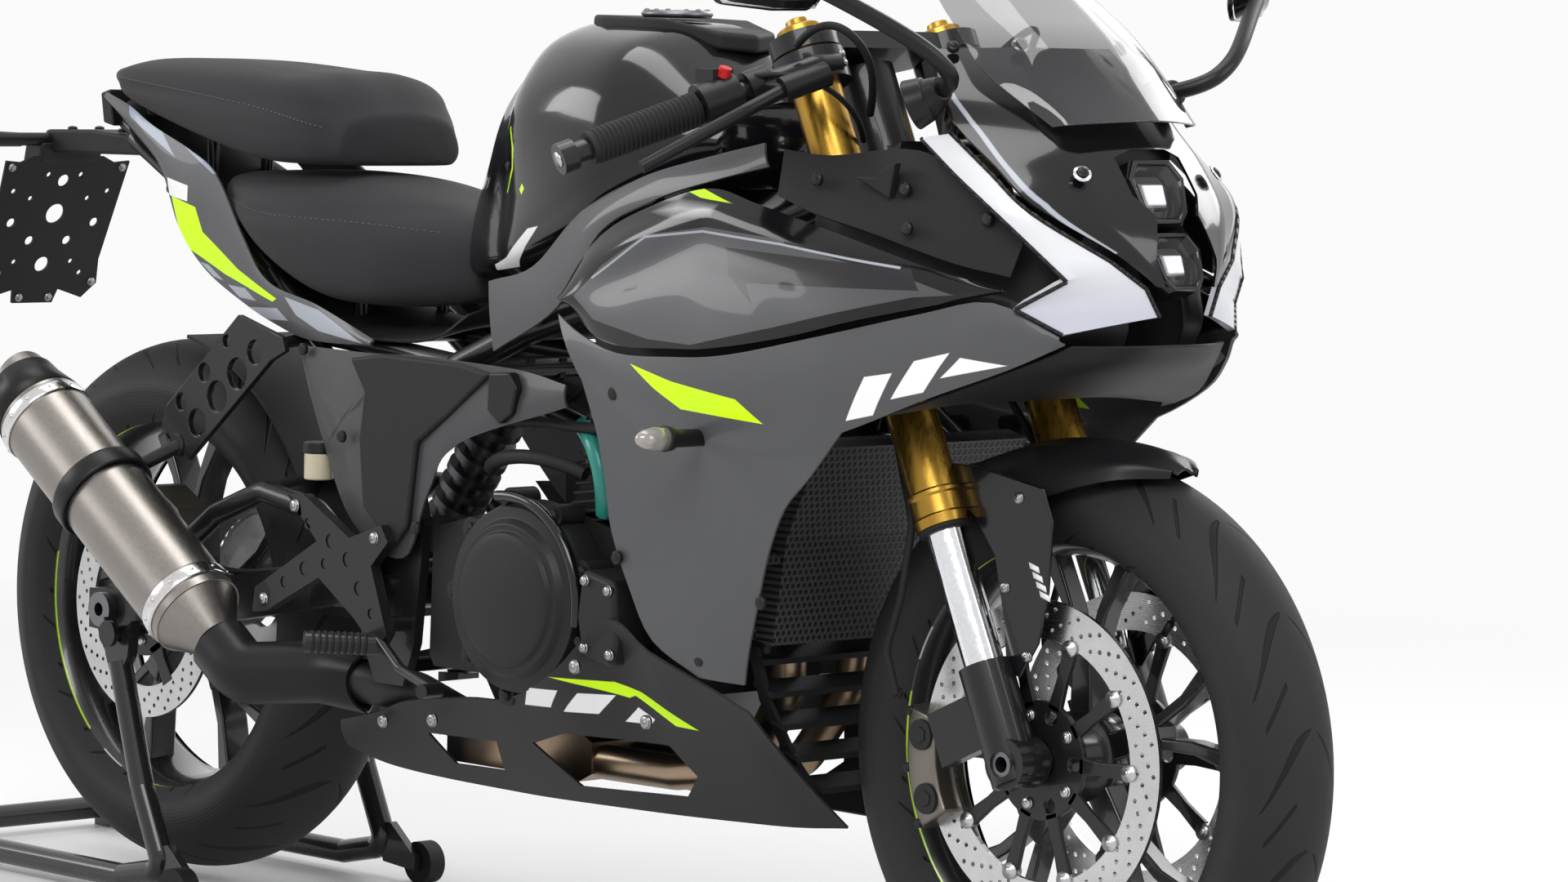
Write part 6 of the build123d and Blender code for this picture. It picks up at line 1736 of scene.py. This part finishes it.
def build_cockpit():
    hose_pairs((
        ("control_cable", 0.0042, 12,
         ((492, 150, 1000), (530, 156, 1030), (566, 132, 1016), (556, 98, 972), (522, 74, 932))),
        ("wiring", 0.0032, 10, ((462, 205, 962), (520, 190, 985), (560, 130, 960), (520, 80, 905))),
    ), RUBBER, "steering")
    way = (BAR_END - BAR_START).normalized()
    pod_at = BAR_START + way * 0.120 + Vector((0.006, 0, 0.024))

    def add_ribs(bm):
        for k in range(22):
            at = BAR_START + way * (0.150 + k * 0.0052)
            rod(bm, at - way * 0.0013, at + way * 0.0013, 0.0181, 0.0181, 32)

    def add_glass(bm):
        outline_face(bm, [(596, -70, 983), (596, 70, 983), (625, 70, 913), (625, -70, 913)])
        faced_back(bm)

    built("grip_ribs", add_ribs, RUBBER, "steering", both=True)
    built("bar_end_caps", lambda bm: rod(bm, BAR_END + way * 0.0155, BAR_END + way * 0.0175, 0.0085, 0.0080),
          STEEL, "steering", both=True)
    built("stop_switch", lambda bm: rod(bm, pod_at, pod_at + Vector((0.004, 0, 0.010)), 0.0075, 0.0065, 20),
          RED_PLASTIC, "steering", bevel=1.0)
    built("dash_glass", add_glass, GLOSS_BLACK, wall=2.0, bevel=1.0)


PLATE_EDGE = (
    # (u, v) corners in metres on the plate's right half, from the top down
    (-0.052, 0.098), (-0.070, 0.090), (-0.092, 0.092), (-0.090, 0.060), (-0.084, -0.040),
    (-0.090, -0.072), (-0.072, -0.092), (-0.034, -0.080), (-0.030, -0.098))
PLATE_HOLES = (
    # u, v, radius in metres
    (-0.0424, 0.0424, 0.0034), (0.0424, 0.0424, 0.0034), (-0.0424, -0.0424, 0.0034),
    (0.0424, -0.0424, 0.0034), (0, 0.066, 0.008), (-0.024, 0.074, 0.0035), (0.024, 0.074, 0.0035),
    (0, 0.022, 0.013), (-0.062, 0.010, 0.006), (0.062, 0.010, 0.006), (-0.028, -0.014, 0.006),
    (0.028, -0.014, 0.006), (0, -0.046, 0.010), (-0.060, -0.058, 0.0035), (0.060, -0.058, 0.0035),
    (-0.070, 0.052, 0.0035), (0.070, 0.052, 0.0035))
PLATE_SCREWS = ((-0.082, 0.084), (0.082, 0.084), (-0.081, -0.070), (0.081, -0.070), (-0.022, -0.090),
                (0.022, -0.090))
PLATE_HALF = 0.0018


def build_plate_holder():
    tilt = math.radians(22.7)
    lean, drop = math.cos(tilt), math.sin(tilt)
    place = Matrix(((0, -lean, drop, -0.971), (1, 0, 0, 0), (0, drop, lean, 0.755), (0, 0, 0, 1)))
    outline = [*PLATE_EDGE, *((-u, v) for u, v in reversed(PLATE_EDGE))]

    def add_arm_bolts(bm):
        rod(bm, (-0.936, -0.110, 0.866), (-0.936, 0.110, 0.866), 0.008)
        for y in (-0.020, 0.020):
            for x in (-0.900, -0.800):
                bolt(bm, (x, y, 0.8795), UP, 0.006)

    def add_screws(bm):
        for u, v in PLATE_SCREWS:
            for side in (1, -1):
                bolt(bm, place @ Vector((u, side * PLATE_HALF, v)), place.to_3x3() @ LEFT * side, 0.0052)

    arm = [(-742, 872), (-850, 880), (-940, 878), (-962, 858), (-950, 850), (-742, 852)]
    clamp = [(-924, 862), (-960, 862), (-966, 838), (-956, 832), (-932, 838)]
    lamp = [(-960, 848), (-972, 846), (-976, 834), (-962, 834)]
    built("plate_carrier", lambda bm: pierced(bm, outline, PLATE_HOLES, -PLATE_HALF, PLATE_HALF, place),
          MATT_BLACK, "bike", ["plate_holder"], bevel=0.5)
    plates("plate_arm", [(arm, -30, 30), (clamp, -46, 46)], MATT_BLACK, bevel=4.0, segments=3, angle=30)
    built("plate_arm_bolts", add_arm_bolts, MID_BLACK, bevel=0.5)
    plates("plate_lamp", [(lamp, -34, 34)], MID_BLACK, bevel=2.0)
    built("plate_carrier_screws", add_screws, BOLT_STEEL)


# ---------------------------------------------------------------- liner, seams and stitches
def build_liners():
    rows = []
    for top, low in zip(SIDE_PANEL, UPPER_FAIRING):
        a = Vector((top[0] + 8, top[1] + 26, top[2] - 14))
        b = Vector((low[0] + 30, low[1] + 28, low[2] - 30))
        rows.append([a, a.lerp(b, 0.5) + Vector((0, 2, 0)), b])
    shell("panel_liner", smoothed(rows, 3, 4), MATT_BLACK, wall=2.0, bevel=0)


def stitches(name, thing, points, side):
    """Short threads along a line of (x, z) points, laid on a pad's flank."""
    finder = BVHTree.FromObject(thing, bpy.context.evaluated_depsgraph_get())
    spots = []
    for point in curve_through([Vector((x, side * 400, z)) for x, z in points], 30):
        hit, normal, _, _ = finder.ray_cast(point * MM, RIGHT * side)
        if hit:
            spots.append((hit, normal))
    bm = bmesh.new()
    walked = 0.0
    for (a, normal), (b, _) in zip(spots, spots[1:]):
        walked += (b - a).length
        if walked > 0.0052:
            walked = 0.0
            way = (b - a).normalized() * 0.0016
            at = a + normal * 0.0003
            rod(bm, at - way, at + way, 0.00055, 0.00055, 6)
    piece(name, bm, plain_paint("thread_grey", (0.10, 0.10, 0.105), 0.6))


STITCH_LINES = (
    # name, (x, z) points
    ("rider", ((-490, 812), (-368, 798), (-238, 794), (-128, 786))),
    ("passenger", ((-735, 946), (-571, 932), (-420, 915), (-328, 896))),
)


def build_stitches(pads):
    for side, label in SIDES:
        for (name, line), pad in zip(STITCH_LINES, pads):
            stitches(f"{name}_stitches_{label}", pad, line, side)


def build_rearsets():
    outline = [(-268, 492), (-238, 494), (-158, 452), (-104, 470), (-92, 452), (-120, 424), (-92, 352),
               (-108, 332), (-150, 366), (-210, 404), (-300, 360), (-326, 356), (-322, 384), (-214, 444)]
    holes = [(-0.253, 0.480, 0.005), (-0.230, 0.462, 0.006), (-0.190, 0.446, 0.008), (-0.160, 0.428, 0.0085),
             (-0.115, 0.455, 0.005), (-0.140, 0.398, 0.008), (-0.118, 0.372, 0.006), (-0.235, 0.412, 0.008),
             (-0.270, 0.394, 0.0065), (-0.306, 0.372, 0.005), (-0.200, 0.420, 0.006)]
    start, end = Vector((-0.112, -0.180, 0.338)), Vector((-0.156, -0.252, 0.342))
    way = (end - start).normalized()

    def add_rubbers(bm):
        for k in range(9):
            at = start + way * (0.018 + k * 0.0072)
            rod(bm, at - way * 0.0016, at + way * 0.0016, 0.0130, 0.0130, 20)

    outline = [(x * MM, z * MM) for x, z in outline]
    built("rearset_faces", lambda bm: pierced(bm, outline, holes, -0.1895, -0.1885), FRAME_BLACK, both=True,
          bevel=0.3)
    screws("rearset_bolts", [(x, -188.5, z) for x, z in ((-253, 480), (-115, 455), (-306, 372), (-112, 338))],
           RIGHT, 0.0072, 0.004, BOLT_STEEL, both=True)
    built("peg_rubbers", add_rubbers, RUBBER, both=True)


build_wheels()
build_fender()
build_fork_details()
build_silencer_trim()
build_engine()
build_radiator_mesh()
build_lamps()
build_cockpit()
build_plate_holder()
build_liners()
build_rearsets()


# ---------------------------------------------------------------- mirrors and indicators
MIRROR_EDGE = (
    # (y, z) corners of the right glass, seen from behind
    (-294, 1046), (-302, 1032), (-340, 1031), (-390, 1036), (-404, 1052), (-403, 1092),
    (-394, 1110), (-340, 1122), (-310, 1116), (-293, 1094))


def build_mirrors():
    def add_heads(bm):
        face = outline_face(bm, [(668 + (-y - 300) * -0.45, y, z) for y, z in MIRROR_EDGE])
        pushed = bmesh.ops.extrude_face_region(bm, geom=[face], use_keep_orig=True)["geom"]
        far = [g for g in pushed if isinstance(g, bmesh.types.BMVert)]
        middle = sum((v.co for v in far), Vector()) / len(far)
        bmesh.ops.translate(bm, verts=far, vec=(0.026, 0, 0.005))
        for vert in far:
            vert.co.y = middle.y + (vert.co.y - middle.y) * 0.80
            vert.co.z = middle.z + 0.005 + (vert.co.z - middle.z - 0.005) * 0.76
        bmesh.ops.recalc_face_normals(bm, faces=bm.faces)

    def add_glass(bm):
        outline_face(bm, [(667.2 + (-y * 0.97 - 310) * -0.45, y * 0.97 - 10, 1076 + (z - 1076) * 0.90)
                          for y, z in MIRROR_EDGE])
        faced_back(bm)

    def add_feet(bm):
        for side, _ in SIDES:
            foot = mm((704, side * 160, 958))
            rod(bm, foot - mm((10, -side * 8, 8)), foot + mm((16, side * 10, 4)), 0.021, 0.0125, 32)
            rod(bm, foot - mm((22, -side * 16, 14)), foot - mm((6, -side * 6, 6)), 0.026, 0.022, 32)

    built("mirror_heads", add_heads, GLOSS_BLACK, "bike", ["mirrors"], True, bevel=7.0, segments=4, angle=25)
    built("mirror_glass", add_glass, CHROME, both=True, wall=1.0)
    hose_pairs((
        ("mirror_stem", 0.0085, 20,
         ((706, 160, 958), (744, 178, 966), (758, 200, 982), (746, 236, 1008), (716, 280, 1036),
          (694, 316, 1056))),
    ), MID_BLACK, "bike")
    built("mirror_feet", add_feet, MID_BLACK, bevel=2.0, segments=3)


def build_indicators():
    bm = bmesh.new()
    lens = bmesh.new()
    for (x, y, z), way, length in (((448, -239, 604), (0.07, -1, 0.02), 0.036),
                                   ((-938, -100, 866), (-0.03, -1, 0.02), 0.012)):
        way = Vector(way).normalized()
        start = mm((x, y, z))
        tip = start + way * length
        rod(bm, start + way * -0.03, tip, 0.0085, 0.0095, 24)
        turned(bm, [(0.0, 0.0), (0.0, 0.0095), (0.004, 0.0125), (0.012, 0.0135), (0.014, 0.0125),
                    (0.014, 0.0)], tip - way * 0.004, way, 36)
        turned(lens, [(0.0, 0.0), (0.0, 0.0122), (0.014, 0.0118), (0.028, 0.0095), (0.036, 0.0050),
                      (0.038, 0.0)], tip + way * 0.0102, way, 36)
    mirror_y(bm)
    mirror_y(lens)
    piece("indicator_stalks", bm, MID_BLACK, "bike", ["indicators"], bevel=0.6)
    smoke = Paint("indicator_lens")
    haze = smoke.noise(60.0, 2.0)
    smoke.set(colour=smoke.mix(haze, (0.16, 0.15, 0.14), (0.42, 0.38, 0.34)), rough=haze * 0.08 + 0.08,
              coat=1.0)
    piece("indicator_lenses", lens, smoke.material)


def build_tail_lamp():
    plates("tail_lamp_housing", [([(-792, 925), (-774, 930), (-766, 886), (-786, 890)], -60, 60)], MID_BLACK,
           "bike", ["tail_lamp"], bevel=2.5, segments=3)
    plates("tail_lamp_lens", [([(-798, 923), (-790, 925), (-784, 892), (-792, 894)], -55, 55)], LENS_RED,
           bevel=2.0, segments=3)


def build_hanger():
    outline = [(-0.409, 0.683), (-0.330, 0.662), (-0.324, 0.646), (-0.350, 0.634), (-0.498, 0.512),
               (-0.548, 0.548), (-0.540, 0.572)]
    holes = [(-0.378, 0.642, 0.014), (-0.410, 0.616, 0.018), (-0.446, 0.588, 0.018), (-0.430, 0.652, 0.007),
             (-0.470, 0.614, 0.011), (-0.482, 0.556, 0.016), (-0.512, 0.578, 0.010)]
    inward = Vector((0.578, 1.0, 0.816)).normalized()

    def add_strap(bm):
        rod(bm, MUFFLER_STRAP + MUFFLER_AXIS * 0.012 + inward * 0.056, (-0.518, -0.146, 0.528), 0.008)
        turned(bm, [(0.0, 0.0532), (0.0, 0.058), (0.024, 0.058), (0.024, 0.0532)], MUFFLER_STRAP,
               MUFFLER_AXIS, 72)
        rod(bm, (-0.518, -0.152, 0.528), (-0.518, -0.140, 0.528), 0.013, sides=32)

    built("hanger_plate", lambda bm: pierced(bm, outline, holes, -0.150, -0.142), FRAME_BLACK, "bike",
          ["muffler_hanger"], bevel=1.2, angle=30)
    built("hanger_strap", add_strap, FRAME_BLACK, bevel=0.8)


# ---------------------------------------------------------------- trays, liners and small parts
TRAY = (
    # x, z, half width
    (-758, 912, 52), (-700, 872, 78), (-620, 836, 92), (-540, 790, 100), (-470, 742, 106),
    (-400, 700, 112), (-300, 676, 118), (-200, 668, 130), (-100, 672, 128), (-70, 700, 100))


def build_tail_tray():
    rows = [[Vector((x, y * half, z + 16 * (1 - y * y))) for y in (-1, -0.5, 0, 0.5, 1)]
            for x, z, half in TRAY]
    shell("tail_tray", smoothed(rows, 4, 3), MATT_BLACK, out=UP, bevel=0.6, both=False, angle=35)


NOSE_LINER = (
    # five x y z points from the top to the bottom of each row, from the rear to the front
    ((520, -140, 884), (540, -166, 820), (560, -190, 760), (560, -200, 700), (560, -196, 640)),
    ((640, -136, 886), (650, -160, 820), (660, -176, 760), (664, -190, 710), (660, -186, 650)),
    ((736, -124, 858), (744, -136, 812), (748, -140, 760), (748, -140, 720), (736, -140, 664)),
    ((812, -92, 812), (818, -96, 786), (826, -96, 756), (828, -96, 728), (800, -96, 690)),
    ((850, -40, 760), (852, -40, 750), (854, -40, 736), (852, -40, 722), (838, -40, 694)),
)


def build_nose_liner():
    shell("nose_liner", smoothed(NOSE_LINER, 3, 3), MATT_BLACK, wall=2.0, bevel=0)
    screws("duct_screws", ((676, -175, 862), (560, -183, 868), (770, -155, 836), (690, -185, 824)),
           (0, -1, 0.1), 0.0070, 0.003, MID_BLACK, both=True, bevel=0.4)
    plates("duct_fins", [([(612, 872), (660, 852), (668, 888), (656, 884), (640, 872)], -182, -172)],
           MATT_BLACK, both=True, bevel=2.0, segments=3, angle=30)


def build_engine_details():
    fins = []
    for k in range(9):
        z = 490 + k * 10.5
        shift = (z - 490) * 0.35
        fins.append(([(150 + shift, z), (292 + shift, z + 18), (292 + shift, z + 21), (150 + shift, z + 3)],
                     -146, 146))
    head = [(150, 566), (196, 640), (336, 640), (346, 596), (300, 560), (180, 552)]
    lid = [(166, 600), (206, 648), (300, 650), (318, 626), (280, 604)]

    def add_bolts(bm):
        for x, z in ((190, 606), (230, 640), (292, 640), (308, 622), (250, 606)):
            for side, _ in SIDES:
                bolt(bm, mm((x, side * 142, z)), LEFT * side, 0.0065, 0.005)

    def add_bottle(low, high, r_low, r_high):
        return lambda bm: rod(bm, (-0.273, -0.140, low), (-0.273, -0.140, high), r_low, r_high, 32)

    plates("cylinder_fins", fins, DARK_ALLOY, bevel=0.6)
    plates("cylinder_head_cover", [(head, -136, 136), (lid, -142, 142)], DARK_ALLOY, bevel=6.0, segments=4,
           angle=30)
    built("head_bolts", add_bolts, BOLT_STEEL)
    hose_pairs((
        ("loom", 0.006, 14,
         ((-40, 148, 640), (10, 158, 600), (60, 160, 590), (120, 154, 600), (190, 150, 590),
          (260, 150, 600))),
    ), RUBBER, "bike")
    pedal_line = ((-150, -168, 440), (-190, -158, 420), (-300, -140, 410), (-420, -136, 380),
                  (-560, -124, 400), (-600, -108, 400))
    hose("pedal_line", [mm(point) for point in pedal_line], 0.0035, RUBBER, "bike", 12)
    built("rear_reservoir", add_bottle(0.506, 0.536, 0.0165, 0.0165), FLUID_CREAM, bevel=2.0)
    built("rear_reservoir_cap", add_bottle(0.536, 0.548, 0.0185, 0.0175), MID_BLACK, bevel=1.5)


PANEL_SCREWS = (
    # x, y, z, radius in metres
    (308, -224, 640, 0.0072),
    (406, -187, 372, 0.0072),
    (308, -215, 470, 0.0072),
    (508, -199, 440, 0.0072),
    (-300, -143, 650, 0.0068),
    (-60, -177, 470, 0.0068),
    (-196, -171, 560, 0.0068),
)


def build_panel_screws():
    built("panel_screws", lambda bm: [bolt(bm, mm(at), RIGHT, radius) for *at, radius in PANEL_SCREWS],
          MID_BLACK, both=True, bevel=0.4)


build_mirrors()
build_indicators()
build_tail_lamp()
build_hanger()
build_tail_tray()
build_nose_liner()
build_engine_details()
build_panel_screws()
build_stitches(SEAT_PADS)
